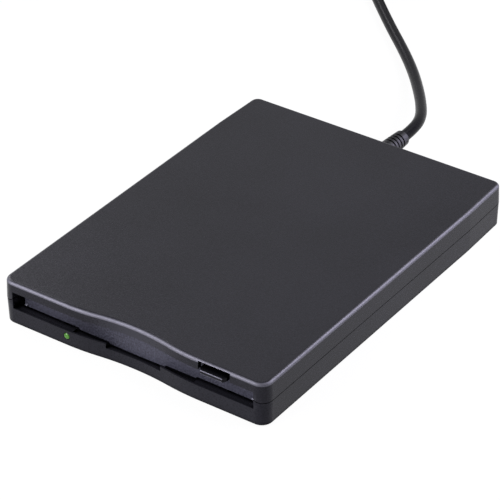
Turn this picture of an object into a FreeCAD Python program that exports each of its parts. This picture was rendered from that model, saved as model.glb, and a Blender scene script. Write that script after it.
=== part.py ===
import FreeCAD, Part
import math
import os
from FreeCAD import Vector

# Frame: +X right seen from the front, front face towards -Y, +Z up.
# Origin at the middle of the footprint, on the surface that the feet stand on.
# All sizes in mm.

# ---- disk that the drive takes ----
disk_width = 90.0
disk_length = 94.0
hub_to_tail = 49.0

# ---- case ----
side_room = 2.6
rear_bay = 11.4
foot_stand = 0.8
wall = 1.6
skin = 1.5
parting_height = 8.5
parting_gap = 0.3
front_corner = 4.2
rear_corner = 3.1
taper_length = 22.0
taper_inset = 0.7
wave_half_width = 26.5
wave_depth_top = 2.4
wave_depth_foot = 1.7
roof_draft = 0.25
lower_step = 0.05
floor_draft = 0.3
roof_round = 1.25
floor_round = 0.4
cheek = 1.0
usb_post_radius = 1.8
rib_setback = 1.5
rib_drop = 1.4
rib_places = (-25.0, -8.5, 8.5, 25.0)
screw_entry = 5.0
foot_bevel = 0.4
weld = 0.1

# ---- disk slot, thumb notch, eject window ----
slot_side_room = 2.5
slot_low = 5.95
slot_height = 6.3
notch_half = 10.8
notch_depth = 1.7
window_inset = 25.4
window_width = 12.1
window_height = 3.15
brow = 0.6
sill_thick = 1.0
sill_drop = 0.4
inner_sill_drop = 1.05
sill_step_x = 23.9
sill_clear = 0.4
rest_rib_x = 31.4
rest_rib_width = 2.0
rest_rib_z = 4.2
lip_thick = 0.7
seam_ear_width = 2.7
seam_ear_height = 1.1
seam_ear_depth = 3.2

# ---- clearances ----
sheet_gap = 0.3
disk_gap = 0.4
pin_gap = 0.05
slot_gap = 0.25
face_gap = 0.2

# ---- flap ----
flap_setback = 3.8
flap_thick = 1.2
flap_sink = 0.25
flap_clear = 0.25
flap_end_drop = 0.07
flap_end_start = 23.4
flap_middle_drop = 0.7
flap_step = 0.5
flap_tab_drop = 1.35
flap_tab_crown = 0.1
barrel_radius = 0.8
trunnion_radius = 0.5
ear_width = 0.8
ear_front = 1.0
ear_reach = 1.4
ear_drop = 1.0
spring_wire = 0.15
spring_turns = 2

# ---- sheet metal drive ----
sheet = 0.6
cover_sheet = 0.4
channel_lift = 1.15
channel_height = 4.3
carrier_drop = 1.6
slide_travel = 5.5
chassis_clear = 0.5
guide_pin_radius = 0.8
flange_reach = 4.5
bridge_gap = 0.7
front_pin_setback = 13.5
rear_pin_setback = 10.8
board_thick = 0.8
post_inset = 11.8
post_front_setback = 8.6
post_rear_setback = 12.0
post_radius = 2.4
screw_radius = 1.0
screw_gap = 0.03
screw_head_radius = 1.9
screw_head_height = 0.9
drive_screw_length = 2.2
window_reach = 30.0
window_rise = 1.5
rotor_gap = 0.8
ribbon_gate_half = 12.0
ribbon_gate_height = 3.0
ribbon_gate_depth = 1.5
base_hole_x = 24.0
base_hole_y = 18.0
base_hole_radius = 4.0
skirt_gap = 0.1
skirt_rise = 2.4
cover_window_half = 20.0
arm_window_gap = 1.5
arm_window_front = 10.0
arm_window_rear = 40.0

# ---- spindle ----
rotor_radius = 14.0
rotor_rim = 1.4
rotor_height = 1.5
hub_radius = 11.0
shaft_radius = 2.0
drive_pin_radius = 1.2
drive_pin_reach = 7.5
stator_radius = 11.6
stator_poles = 9
core_height = 0.55
core_ring = 2.0
pole_half = 0.9
pole_lap = 0.6
tip_half = 2.4
coil_inset = 2.3
coil_outset = 1.5
coil_half = 1.3
coil_height = 0.25
shaft_bevel = 0.5
drive_pin_gap = 0.5
drive_pin_bevel = 0.4

# ---- heads ----
track_outer = 39.5
head_travel = 14.8
rod_x = -15.0
rod_radius = 1.5
rod_height = 8.0
screw_x = 18.0
lead_radius = 1.5
lead_height = 9.6
motor_radius = 4.2
motor_length = 6.4
motor_room = 1.1
nut_length = 3.5
carriage_length = 8.3
arm_setback = 5.0
clip_length = 1.6
rod_end_gap = 0.9
arm_half = 5.0
pivot_radius = 0.6

# ---- lever that opens the disk's shutter ----
lever_x = -32.0
lever_y = 6.0
lever_reach = 21.0
lever_start = -30.0
lever_swing = 62.0
lever_post_radius = 1.5
lever_finger_radius = 1.0
lever_thick = 0.7
lever_nose = 2.0
lever_taper = 1.5
lever_play = 0.15
finger_rise = 1.6
post_head = 0.3
post_brim = 0.8

# ---- cord ----
cord_radius = 2.1
relief_x = 1.0
relief_radius = 3.5
relief_end_radius = 2.9
relief_length = 15.5
relief_slots = 4
relief_pitch = 1.8
relief_slot = 0.7
relief_flange = 1.7
relief_brim = 0.6
relief_collar = 4.2
relief_core = 0.4
relief_nose = 1.6
cord_level = 2.2
coil_x = -75.0
coil_y = 218.0
coil_radius = 21.5
coil_wires_wide = 2
coil_wires_high = 2
plug_width = 15.6
plug_height = 8.0
plug_length = 27.0
shell_width = 12.0
shell_height = 4.5
shell_length = 18.8
shell_sheet = 0.35
plug_round = 1.6
tongue_thick = 1.8
tongue_setback = 1.0

# ---- levels and planes worked out from the above ----
tail_offset = flap_setback + flap_thick + 2 * disk_gap
carriage_offset = tail_offset + disk_length + rod_end_gap + clip_length + sheet_gap + head_travel
drive_rear_offset = carriage_offset + nut_length + motor_room + motor_length + sheet
body_depth = drive_rear_offset + rear_bay + wall
front_y = -body_depth / 2
rear_y = body_depth / 2
drive_rear = front_y + drive_rear_offset
base_z = foot_stand
floor_z = base_z + skin
body_height = slot_low + slot_height + window_height + brow
roof_z = base_z + body_height - skin
top_z = base_z + body_height
parting_z = base_z + parting_height
slot_low_z = base_z + slot_low
slot_top_z = slot_low_z + slot_height
notch_z = slot_low_z - notch_depth
sill_z = slot_low_z - sill_drop
inner_sill_z = slot_low_z - inner_sill_drop
channel_low_z = slot_low_z + channel_lift
channel_top_z = channel_low_z + channel_height
carrier_low_z = channel_low_z - sheet
carrier_top_z = channel_top_z + sheet
slider_low_z = carrier_top_z + bridge_gap
slider_top_z = slider_low_z + sheet
cover_low_z = slider_top_z + disk_gap
base_top_z = carrier_low_z - carrier_drop - chassis_clear
base_low_z = base_top_z - sheet
channel_half = disk_width / 2 + disk_gap
carrier_half = channel_half + sheet
slider_inner = carrier_half + sheet_gap
slider_outer = slider_inner + sheet
chassis_inner = slider_outer + sheet_gap
chassis_outer = chassis_inner + sheet
half_width = chassis_outer + side_room + wall
slot_half = disk_width / 2 + slot_side_room
window_left = half_width - window_inset
window_top_z = slot_top_z + window_height
spring_length = 2 * spring_wire * spring_turns
flap_half = slot_half - ear_width - sheet_gap - 2 * face_gap - spring_length
trunnion_end = slot_half - face_gap
flap_front = front_y + flap_setback
flap_axis_y = flap_front + barrel_radius
flap_axis_z = slot_top_z - flap_sink
flap_tab_z = slot_low_z - flap_tab_drop
flap_sweep = math.hypot(flap_axis_z - flap_tab_z + flap_tab_crown, barrel_radius)
drive_front = flap_axis_y + flap_sweep + disk_gap
tail_y = front_y + tail_offset
spindle_y = tail_y + hub_to_tail
lead_edge_y = tail_y + disk_length
head_y = spindle_y + track_outer
pin_z = (channel_low_z + channel_top_z) / 2
rod_front = lead_edge_y + rod_end_gap
carriage_front = front_y + carriage_offset
arm_pivot_y = carriage_front + arm_setback
front_pin_y = drive_front + front_pin_setback
rear_pin_y = lead_edge_y - rear_pin_setback
post_x = chassis_outer - post_inset
post_front_y = drive_front + post_front_setback
post_rear_y = drive_rear - post_rear_setback


def box(x0, x1, y0, y1, z0, z1):
    return Part.makeBox(x1 - x0, y1 - y0, z1 - z0, Vector(x0, y0, z0))


def post(x, y, z0, z1, radius):
    return Part.makeCylinder(radius, z1 - z0, Vector(x, y, z0), Vector(0, 0, 1))


def rod_along_y(x, z, y0, y1, radius):
    return Part.makeCylinder(radius, y1 - y0, Vector(x, y0, z), Vector(0, 1, 0))


def rod_along_x(y, z, x0, x1, radius):
    return Part.makeCylinder(radius, x1 - x0, Vector(x0, y, z), Vector(1, 0, 0))


def mirrored(shape):
    return shape.mirror(Vector(0, 0, 0), Vector(1, 0, 0))


def both_sides(shape):
    return [shape, mirrored(shape)]


def joined(shapes):
    whole = shapes[0].fuse(shapes[1:])
    return whole.removeSplitter()


def save(name, shape):
    shape.exportStep("parts/" + name + ".step")


def prism(points, thickness, direction):
    outline = Part.makePolygon(points + [points[0]])
    return Part.Face(outline).extrude(direction * thickness)


# ---- case outline ----

def arc(start, middle, end):
    return Part.Arc(start, middle, end).toShape()


def line(start, end):
    return Part.LineSegment(start, end).toShape()


def case_outline(inset, z):
    """Closed wire of the case's plan, moved inwards by inset; the front's wave deepens with height."""
    depth = wave_depth_foot + (wave_depth_top - wave_depth_foot) * (z - base_z) / body_height
    half_step = wave_half_width / 2
    half_rise = depth / 2
    wave_radius = (half_step ** 2 + half_rise ** 2) / (2 * half_rise)
    turn = math.asin(half_step / wave_radius)
    flank_centre = front_y + wave_radius
    dip_centre = front_y + depth - wave_radius
    flank_radius = wave_radius - inset
    dip_radius = wave_radius + inset

    def flank(side, share):
        angle = turn * share
        x = wave_half_width - flank_radius * math.sin(angle)
        return Vector(side * x, flank_centre - flank_radius * math.cos(angle), z)

    side_x = half_width - inset
    near_y = front_y + inset
    far_y = rear_y - inset
    corner = front_corner - inset
    lean = math.atan(taper_inset / taper_length)
    bend_y = rear_y - taper_length - inset * math.tan(lean / 2)
    far_x = half_width - inset / math.cos(lean) - (taper_length - inset) * math.tan(lean)
    round_end = rear_corner - inset
    tangent = round_end * math.tan((math.pi / 2 - lean) / 2)
    round_x = far_x - tangent
    round_y = far_y - round_end
    middle = (math.pi / 2 + lean) / 2
    slant_x = far_x + tangent * math.sin(lean)
    slant_y = far_y - tangent * math.cos(lean)
    diagonal = corner * math.sqrt(0.5)

    def right_side(side):
        return {
            "front": Vector(side * (side_x - corner), near_y, z),
            "front_mid": Vector(side * (side_x - corner + diagonal), near_y + corner - diagonal, z),
            "side": Vector(side * side_x, near_y + corner, z),
            "bend": Vector(side * side_x, bend_y, z),
            "slant": Vector(side * slant_x, slant_y, z),
            "rear_mid": Vector(side * (round_x + round_end * math.cos(middle)),
                               round_y + round_end * math.sin(middle), z),
            "rear": Vector(side * round_x, far_y, z),
        }

    right = right_side(1)
    left = right_side(-1)
    dip = Vector(0, dip_centre + dip_radius, z)
    edges = [
        arc(flank(-1, 1), dip, flank(1, 1)),
        arc(flank(1, 1), flank(1, 0.5), flank(1, 0)),
        line(flank(1, 0), right["front"]),
        arc(right["front"], right["front_mid"], right["side"]),
        line(right["side"], right["bend"]),
        line(right["bend"], right["slant"]),
        arc(right["slant"], right["rear_mid"], right["rear"]),
        line(right["rear"], left["rear"]),
        arc(left["rear"], left["rear_mid"], left["slant"]),
        line(left["slant"], left["bend"]),
        line(left["bend"], left["side"]),
        arc(left["side"], left["front_mid"], left["front"]),
        line(left["front"], flank(-1, 0)),
        arc(flank(-1, 0), flank(-1, 0.5), flank(-1, 1)),
    ]
    return Part.Wire(edges)


def case_block(low_z, low_inset, high_z, high_inset):
    return Part.makeLoft([case_outline(low_inset, low_z), case_outline(high_inset, high_z)], True, True)


def edges_at(shape, z):
    return [edge for edge in shape.Edges
            if abs(edge.BoundBox.ZMin - z) < 1e-4 and abs(edge.BoundBox.ZMax - z) < 1e-4]


# ---- bottom case ----
inner_x = half_width - wall
inner_front = front_y + wall
inner_rear = rear_y - wall
boss_x = half_width - 9.0
boss_y = rear_y - 7.8
boss_radius = 2.8
boss_hole = 1.15
screw_seat = base_z + 3.0
screw_length = 8.0
foot_x = half_width - 12.0
foot_front_y = front_y + 14.0
foot_rear_y = rear_y - 18.0
foot_radius = 4.0
foot_recess = 0.5
led_x = -(half_width - 26.35)
led_height = 3.67
led_radius = 1.1
led_gap = 0.15
led_dome = 0.45
led_flange = 0.45
led_flange_thick = 0.6
led_leg = 0.4
hook_y = 30.0
hook_half = 3.0
hook_thick = 1.0
hook_barb = 0.5
barb_height = 0.9
rib_spacing = 25.0
relief_neck = 2.6
groove_gap = 0.1
usb_board_front = drive_rear + 2.0
usb_board_rear = inner_rear - 1.4
usb_board_half = boss_x - boss_radius - 2.2
usb_board_z = 4.0
usb_post_x = usb_board_half - 5.0
usb_post_y = usb_board_rear - 2.5
led_z = base_z + led_height
led_seat_y = inner_front + floor_draft
relief_flange_y = inner_rear - floor_draft - 0.1
hook_low_z = parting_z - 1.9
hook_outer = inner_x - floor_draft


def drive_posts():
    return [post(side * post_x, y, floor_z, base_low_z, post_radius)
            for side in (-1, 1) for y in (post_front_y, post_rear_y)]


def drive_post_holes():
    return [post(side * post_x, y, floor_z + sheet, base_low_z, screw_radius + screw_gap)
            for side in (-1, 1) for y in (post_front_y, post_rear_y)]


def sills():
    """Ledges behind the slot's lip, high at the sides and low by the thumb notch, open under the flap."""
    rear = flap_front - sill_clear
    inner = box(notch_half, sill_step_x, front_y, rear, inner_sill_z - sill_thick, inner_sill_z)
    riser = box(sill_step_x - sill_thick, sill_step_x, front_y, rear, floor_z, sill_z)
    outer = box(sill_step_x, slot_half, front_y, rear, sill_z - sill_thick, sill_z)
    end_rib = box(slot_half - sill_thick, slot_half, front_y, drive_front - sheet_gap, floor_z, rest_rib_z)
    rest_rib = box(rest_rib_x, rest_rib_x + rest_rib_width, front_y, drive_front - sheet_gap,
                   floor_z, rest_rib_z)
    notch_rib = box(notch_half, notch_half + sill_thick, front_y, rear, floor_z, inner_sill_z)
    half = joined([inner, riser, outer, end_rib, rest_rib, notch_rib])
    within_wall = case_block(base_z, wall / 2 + floor_draft, parting_z, wall / 2 + lower_step)
    return both_sides(half.common(within_wall))


def lip_relief(inner_x, outer_x, low_z):
    """Space behind the slot's thin lip, down to a sill, following the front's wave."""
    behind_lip = case_block(low_z, lip_thick + lower_step, parting_z + 1, lip_thick + lower_step)
    return both_sides(behind_lip.common(box(inner_x, outer_x, front_y, drive_front, low_z, parting_z + 1)))


def seam_ear_block(lift):
    """Sliver beside the slot: its top curves down to the parting line outwards, and slopes down backwards."""
    low = parting_z - 1
    high = parting_z + seam_ear_height + lift
    far_x = slot_half + seam_ear_width
    radius = (seam_ear_width ** 2 + seam_ear_height ** 2) / (2 * seam_ear_height)
    middle_z = parting_z + lift + radius - math.sqrt(radius ** 2 - (seam_ear_width / 2) ** 2)
    low_left = Vector(slot_half, front_y, low)
    low_right = Vector(far_x, front_y, low)
    high_right = Vector(far_x, front_y, parting_z + lift)
    high_left = Vector(slot_half, front_y, high)
    edges = [line(low_left, low_right), line(low_right, high_right),
             arc(high_right, Vector(far_x - seam_ear_width / 2, front_y, middle_z), high_left),
             line(high_left, low_left)]
    upright = Part.Face(Part.Wire(edges)).extrude(Vector(0, seam_ear_depth, 0))
    slope = prism([low_left, high_left, Vector(slot_half, front_y + seam_ear_depth, parting_z + lift),
                   Vector(slot_half, front_y + seam_ear_depth, low)], seam_ear_width, Vector(1, 0, 0))
    return upright.common(slope)


def seam_ears():
    block = case_block(parting_z - 1, lower_step, parting_z + 2, lower_step)
    front_wall = block.cut(case_block(parting_z - 2, wall + lower_step, parting_z + 3, wall + lower_step))
    cheek_wall = box(slot_half, slot_half + cheek, inner_front, front_y + seam_ear_depth,
                     parting_z - 1, parting_z + 2)
    return both_sides(seam_ear_block(0).common(joined([front_wall, cheek_wall])))


def slot_cheeks(low_z, high_z):
    cheek_wall = box(slot_half, slot_half + cheek, inner_front, flap_axis_y, low_z, high_z)
    return both_sides(cheek_wall)


def side_ribs(low_z, high_z):
    """Short ribs that hold the drive's chassis centred between the side walls."""
    rib = box(chassis_outer + 2 * sheet_gap + cover_sheet, inner_x, -cheek / 2, cheek / 2, low_z, high_z)
    places = [-2 * rib_spacing, 0, 2 * rib_spacing]
    return [one.translated(Vector(0, y, 0)) for y in places for one in both_sides(rib)]


def hook_recesses():
    recess = box(hook_outer, hook_outer + hook_barb + face_gap, -hook_half - face_gap, hook_half + face_gap,
                 hook_low_z - face_gap, hook_low_z + barb_height + face_gap)
    return [one.translated(Vector(0, y, 0)) for y in (-hook_y, hook_y) for one in both_sides(recess)]


def relief_bore():
    return rod_along_y(relief_x, parting_z, inner_rear - 1, rear_y + 1, relief_neck + groove_gap)


def bottom_case():
    block = case_block(base_z, floor_draft, parting_z, lower_step)
    block = block.makeFillet(floor_round, edges_at(block, base_z))
    hollow = case_block(floor_z, wall + floor_draft, parting_z + 1, wall + lower_step)
    shell = block.cut(hollow)
    adds = drive_posts() + sills() + slot_cheeks(floor_z, parting_z) + side_ribs(floor_z, parting_z - 1)
    adds += seam_ears()
    for side in (-1, 1):
        adds.append(post(side * boss_x, boss_y, floor_z, parting_z, boss_radius))
        adds.append(post(side * usb_post_x, usb_post_y, floor_z, usb_board_z, usb_post_radius))
    shell = joined([shell] + adds)
    cuts = drive_post_holes() + hook_recesses() + [relief_bore()]
    cuts.append(box(-slot_half, slot_half, front_y - 1, drive_front, slot_low_z, parting_z + 1))
    cuts += lip_relief(0, sill_step_x, inner_sill_z) + lip_relief(sill_step_x, slot_half, sill_z)
    cuts.append(box(-notch_half, notch_half, front_y - 1, drive_front, notch_z, parting_z + 1))
    cuts.append(rod_along_y(led_x, led_z, front_y - 1, led_seat_y + pin_gap, led_radius + led_gap))
    for side in (-1, 1):
        cuts.append(post(side * boss_x, boss_y, base_z - 1, parting_z + 1, boss_hole))
        cuts.append(post(side * boss_x, boss_y, base_z - 1, screw_seat, screw_head_radius + face_gap))
        for y in (foot_front_y, foot_rear_y):
            cuts.append(post(side * foot_x, y, base_z - 1, base_z + foot_recess, foot_radius + pin_gap))
    return shell.cut(cuts)


# ---- top case ----

def flap_ears():
    """Hangers under the roof, bored for the flap's trunnions."""
    ear = box(flap_half + sheet_gap, flap_half + sheet_gap + ear_width,
              flap_axis_y - ear_front, flap_axis_y + ear_reach, flap_axis_z - ear_drop, roof_z)
    bore = rod_along_x(flap_axis_y, flap_axis_z, 0, half_width - wall, trunnion_radius + pin_gap)
    return both_sides(ear.cut(bore))


def snap_hooks():
    """Spring tongues with a barb that click under the bottom case's walls."""
    tongue = box(hook_outer - hook_thick, hook_outer, -hook_half, hook_half, hook_low_z, roof_z)
    barb_z = hook_low_z + barb_height
    barb_points = [Vector(hook_outer, -hook_half, hook_low_z), Vector(hook_outer, -hook_half, barb_z),
                   Vector(hook_outer + hook_barb, -hook_half, barb_z)]
    barb = prism(barb_points, 2 * hook_half, Vector(0, 1, 0))
    root = box(hook_outer - hook_thick, inner_x + weld, -hook_half, hook_half, parting_z + 2, roof_z)
    hook = joined([tongue, barb, root])
    return [one.translated(Vector(0, y, 0)) for y in (-hook_y, hook_y) for one in both_sides(hook)]


def roof_ribs():
    """Stiffening ribs under the roof, between the chassis and the rear wall."""
    return [box(x, x + cheek, drive_rear + rib_setback, inner_rear + weld, roof_z - rib_drop, roof_z)
            for x in rib_places]


def top_case():
    low_z = parting_z + parting_gap
    block = case_block(low_z, 0.0, top_z, roof_draft)
    block = block.makeFillet(roof_round, edges_at(block, top_z))
    hollow = case_block(low_z - 1, wall, roof_z, wall + roof_draft)
    shell = block.cut(hollow)
    adds = flap_ears() + snap_hooks() + roof_ribs() + slot_cheeks(low_z, roof_z)
    for side in (-1, 1):
        adds.append(post(side * boss_x, boss_y, low_z, roof_z, boss_radius))
    shell = joined([shell] + adds)
    cuts = [relief_bore()] + both_sides(seam_ear_block(parting_gap))
    cuts.append(box(-slot_half, slot_half, front_y - 1, flap_front - flap_clear, low_z - 1, slot_top_z))
    cuts.append(box(-wave_half_width, wave_half_width, flap_front - flap_clear, flap_front + 2 * wall,
                    low_z - 1, flap_axis_z + barrel_radius + flap_clear))
    cuts.append(box(window_left, window_left + window_width, front_y - 1, inner_front + 1,
                    slot_top_z - 1, window_top_z))
    for side in (-1, 1):
        cuts.append(post(side * boss_x, boss_y, low_z - 1, low_z + screw_entry, screw_radius + screw_gap))
    return shell.cut(cuts)


def rubber_foot(side, y):
    disc = post(side * foot_x, y, 0.0, base_z + foot_recess, foot_radius)
    return disc.makeChamfer(foot_bevel, edges_at(disc, 0.0))


def pan_head_screw(x, y, seat_z, length, up):
    """Pan-head screw: its head sits on seat_z and its shank runs the way that up points."""
    head_low = seat_z - screw_head_height if up > 0 else seat_z
    shank_low = seat_z if up > 0 else seat_z - length
    head = post(x, y, head_low, head_low + screw_head_height, screw_head_radius)
    shank = post(x, y, shank_low, shank_low + length, screw_radius)
    return joined([head, shank])


def case_screws():
    length = screw_length
    return Part.makeCompound([pan_head_screw(side * boss_x, boss_y, screw_seat, length, 1)
                              for side in (-1, 1)])


# ---- indicator ----

def activity_led():
    """Round lens with a domed nose, a square flange behind the wall under the sill, two wire legs."""
    nose_y = front_y + led_dome
    lens = rod_along_y(led_x, led_z, nose_y, led_seat_y, led_radius)
    dome_radius = (led_radius ** 2 + led_dome ** 2) / (2 * led_dome)
    ball = Part.makeSphere(dome_radius, Vector(led_x, front_y + dome_radius, led_z))
    dome = ball.common(rod_along_y(led_x, led_z, front_y, nose_y, led_radius))
    reach = led_radius + led_flange
    flange_rear = led_seat_y + led_flange_thick
    flange_top = sill_z - sill_thick - face_gap
    flange = box(led_x - reach, led_x + reach, led_seat_y, flange_rear, led_z - reach, flange_top)
    legs = [box(led_x + side * led_radius / 2 - led_leg / 2, led_x + side * led_radius / 2 + led_leg / 2,
                flange_rear, flange_rear + 2 * reach, flange_top - 2 * led_leg, flange_top - led_leg)
            for side in (-1, 1)]
    return joined([lens, dome, flange] + legs)


# ---- flap ----

def flap_edge():
    """Lower edge of the flap from its right end to its left: two levels each side and a tab in the notch."""
    end_z = slot_low_z - flap_end_drop
    middle_z = slot_low_z - flap_middle_drop
    half = [Vector(flap_half, flap_front, end_z), Vector(flap_end_start, flap_front, end_z),
            Vector(flap_end_start - flap_step, flap_front, middle_z),
            Vector(notch_half + flap_step, flap_front, middle_z), Vector(notch_half, flap_front, flap_tab_z)]
    left = [Vector(-point.x, point.y, point.z) for point in reversed(half)]
    crown = arc(half[-1], Vector(0, flap_front, flap_tab_z - flap_tab_crown), left[0])
    right_edges = [line(a, b) for a, b in zip(half, half[1:])]
    left_edges = [line(a, b) for a, b in zip(left, left[1:])]
    return right_edges + [crown] + left_edges


def disk_flap():
    """Door plate on a rolled barrel, with a pin at each end."""
    right_end = Vector(flap_half, flap_front, flap_axis_z)
    left_end = Vector(-flap_half, flap_front, flap_axis_z)
    right_foot = Vector(flap_half, flap_front, slot_low_z - flap_end_drop)
    left_foot = Vector(-flap_half, flap_front, slot_low_z - flap_end_drop)
    edges = flap_edge() + [line(left_foot, left_end), line(left_end, right_end), line(right_end, right_foot)]
    plate = Part.Face(Part.Wire(edges)).extrude(Vector(0, flap_thick, 0))
    barrel = rod_along_x(flap_axis_y, flap_axis_z, -flap_half, flap_half, barrel_radius)
    pin = rod_along_x(flap_axis_y, flap_axis_z, -trunnion_end, trunnion_end, trunnion_radius)
    return joined([plate, barrel, pin])


def flap_spring():
    """Small close-wound torsion coil round the flap's left trunnion, outside its ear."""
    near_x = -(flap_half + sheet_gap + ear_width + face_gap)
    bore = trunnion_radius + pin_gap
    profile = [Vector(near_x, flap_axis_y, flap_axis_z + bore)]
    for turn in range(spring_turns):
        groove_x = near_x - 2 * spring_wire * turn
        profile.append(Vector(groove_x, flap_axis_y, flap_axis_z + bore + spring_wire))
        profile.append(Vector(groove_x - spring_wire, flap_axis_y, flap_axis_z + bore + 2 * spring_wire))
    far_x = near_x - spring_length
    profile.append(Vector(far_x, flap_axis_y, flap_axis_z + bore + spring_wire))
    profile.append(Vector(far_x, flap_axis_y, flap_axis_z + bore))
    section = Part.Face(Part.makePolygon(profile + [profile[0]]))
    return section.revolve(Vector(0, flap_axis_y, flap_axis_z), Vector(1, 0, 0), 360)


# ---- chassis and cover ----

def chassis_wall():
    """Folded side wall with upright slots for the carrier's guide pins."""
    wall_plate = box(chassis_inner, chassis_outer, drive_front, drive_rear, base_low_z, cover_low_z)
    slot_half_y = guide_pin_radius + slot_gap
    slots = [box(chassis_inner - 1, chassis_outer + 1, y - slot_half_y, y + slot_half_y,
                 pin_z - carrier_drop - slot_half_y, pin_z + slot_half_y)
             for y in (front_pin_y, rear_pin_y)]
    lightening = box(chassis_inner - 1, chassis_outer + 1, -window_reach, 0.0, pin_z - 2, pin_z + window_rise)
    return wall_plate.cut(slots + [lightening])


def drive_chassis():
    """Steel tray: flat base, folded side walls, low rear wall, cut out for the motor and the ribbon."""
    base = box(-chassis_outer, chassis_outer, drive_front, drive_rear, base_low_z, base_top_z)
    rear_wall = box(-chassis_outer, chassis_outer, drive_rear - sheet, drive_rear, base_low_z, cover_low_z)
    tray = joined([base, rear_wall] + both_sides(chassis_wall()))
    cuts = [post(0, spindle_y, base_low_z - 1, base_top_z + 1, rotor_radius + rotor_gap)]
    cuts.append(box(-ribbon_gate_half, ribbon_gate_half, drive_rear - ribbon_gate_depth, drive_rear + 1,
                    base_top_z, base_top_z + ribbon_gate_height))
    for side in (-1, 1):
        for y in (post_front_y, post_rear_y):
            cuts.append(post(side * post_x, y, base_low_z - 1, base_top_z + 1, boss_hole))
        cuts.append(post(side * base_hole_x, base_hole_y, base_low_z - 1, base_top_z + 1, base_hole_radius))
    return tray.cut(cuts)


def drive_cover():
    """Thin lid with skirts folded down outside the chassis walls."""
    skirt_inner = chassis_outer + skirt_gap
    skirt_outer = skirt_inner + cover_sheet
    front = post_front_y
    lid = box(-skirt_outer, skirt_outer, front, drive_rear, cover_low_z, cover_low_z + cover_sheet)
    skirt = box(skirt_inner, skirt_outer, front, drive_rear, pin_z + skirt_rise, cover_low_z)
    cuts = [box(-cover_window_half, cover_window_half, -window_reach, 0.0, cover_low_z - 1, cover_low_z + 1)]
    cuts.append(box(-arm_half - arm_window_gap, arm_half + arm_window_gap, arm_window_front, arm_window_rear,
                    cover_low_z - 1, cover_low_z + 1))
    return joined([lid] + both_sides(skirt)).cut(cuts)


def drive_screws():
    return Part.makeCompound([pan_head_screw(side * post_x, y, base_top_z, drive_screw_length, -1)
                              for side in (-1, 1) for y in (post_front_y, post_rear_y)])


# ---- carrier ----
head_slot_half = 8.6
head_slot_front = 2.0
stop_tab_low = 18.0
stop_tab_high = 40.0
carrier_hole_x = 28.0
carrier_hole_y = -32.0
carrier_hole_radius = 6.0


def lever_slot():
    """Curved slot that the lever's finger sweeps along."""
    reach = lever_finger_radius + slot_gap
    outer = post(lever_x, lever_y, channel_top_z - 1, carrier_top_z + 1, lever_reach + reach)
    inner = post(lever_x, lever_y, channel_top_z - 2, carrier_top_z + 2, lever_reach - reach)
    ring = outer.cut(inner)
    far = 2 * lever_reach
    first = math.radians(lever_start)
    last = math.radians(lever_start + lever_swing)
    corners = [Vector(lever_x, lever_y, channel_top_z - 1)]
    corners += [Vector(lever_x + far * math.cos(a), lever_y + far * math.sin(a), channel_top_z - 1)
                for a in (first, (first + last) / 2, last)]
    sector = prism(corners, 2 * sheet + 2, Vector(0, 0, 1))
    ends = [post(lever_x + lever_reach * math.cos(a), lever_y + lever_reach * math.sin(a),
                 channel_top_z - 1, carrier_top_z + 1, reach) for a in (first, last)]
    return joined([ring.common(sector)] + ends)


def disk_carrier():
    """Folded sheet channel that holds the disk: roof, sides, inturned flanges, rear stop tabs."""
    front = drive_front
    rear = lead_edge_y + sheet
    roof = box(-carrier_half, carrier_half, front, rear, channel_top_z, carrier_top_z)
    side = box(channel_half, carrier_half, front, rear, carrier_low_z, carrier_top_z)
    flange = box(carrier_half - flange_reach, carrier_half, front, rear, carrier_low_z, channel_low_z)
    tab = box(stop_tab_low, stop_tab_high, lead_edge_y, rear, channel_low_z, carrier_top_z)
    pins = [rod_along_x(y, pin_z, carrier_half, chassis_outer + sheet_gap, guide_pin_radius)
            for y in (front_pin_y, rear_pin_y)]
    half = joined([side, flange, tab] + pins)
    tray = joined([roof] + both_sides(half))
    cuts = [box(-head_slot_half, head_slot_half, head_slot_front, rear + 1, channel_top_z - 1,
                carrier_top_z + 1)]
    cuts.append(lever_slot())
    cuts += [post(side * carrier_hole_x, carrier_hole_y, channel_top_z - 1, carrier_top_z + 1,
                  carrier_hole_radius) for side in (-1, 1)]
    return tray.cut(cuts)


# ---- slider and eject button ----
slider_front = drive_front + slide_travel + 0.4
slider_rear = lead_edge_y - 2.0
rail_width = 7.0
rail_depth = 3.0
cross_width = 12.0
stem_left = window_left + 2.4
stem_width = 7.0
stem_low = flap_axis_z + barrel_radius + 0.35
stem_thick = 0.3
stem_lap = 3.0
stem_root = 1.0
spine_inset = 1.0
button_reach = 1.4
button_height = 1.45
button_half = 5.0
button_nose_half = 4.1
button_round = 0.35


def ramp_slot(pin_y):
    """Slanted slot: the pin sinks by carrier_drop while the slider runs forward by slide_travel."""
    reach = guide_pin_radius + slot_gap
    lean = math.atan(carrier_drop / slide_travel)
    rise_y = reach * math.sin(lean)
    rise_z = reach * math.cos(lean)
    x = slider_inner - 1
    start_y = pin_y
    start_z = pin_z
    end_y = pin_y + slide_travel
    end_z = pin_z - carrier_drop
    corners = [Vector(x, start_y + rise_y, start_z + rise_z), Vector(x, end_y + rise_y, end_z + rise_z),
               Vector(x, end_y - rise_y, end_z - rise_z), Vector(x, start_y - rise_y, start_z - rise_z)]
    channel = prism(corners, sheet + 2, Vector(1, 0, 0))
    ends = [rod_along_x(start_y, start_z, x, x + sheet + 2, reach),
            rod_along_x(end_y, end_z, x, x + sheet + 2, reach)]
    return joined([channel] + ends)


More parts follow.
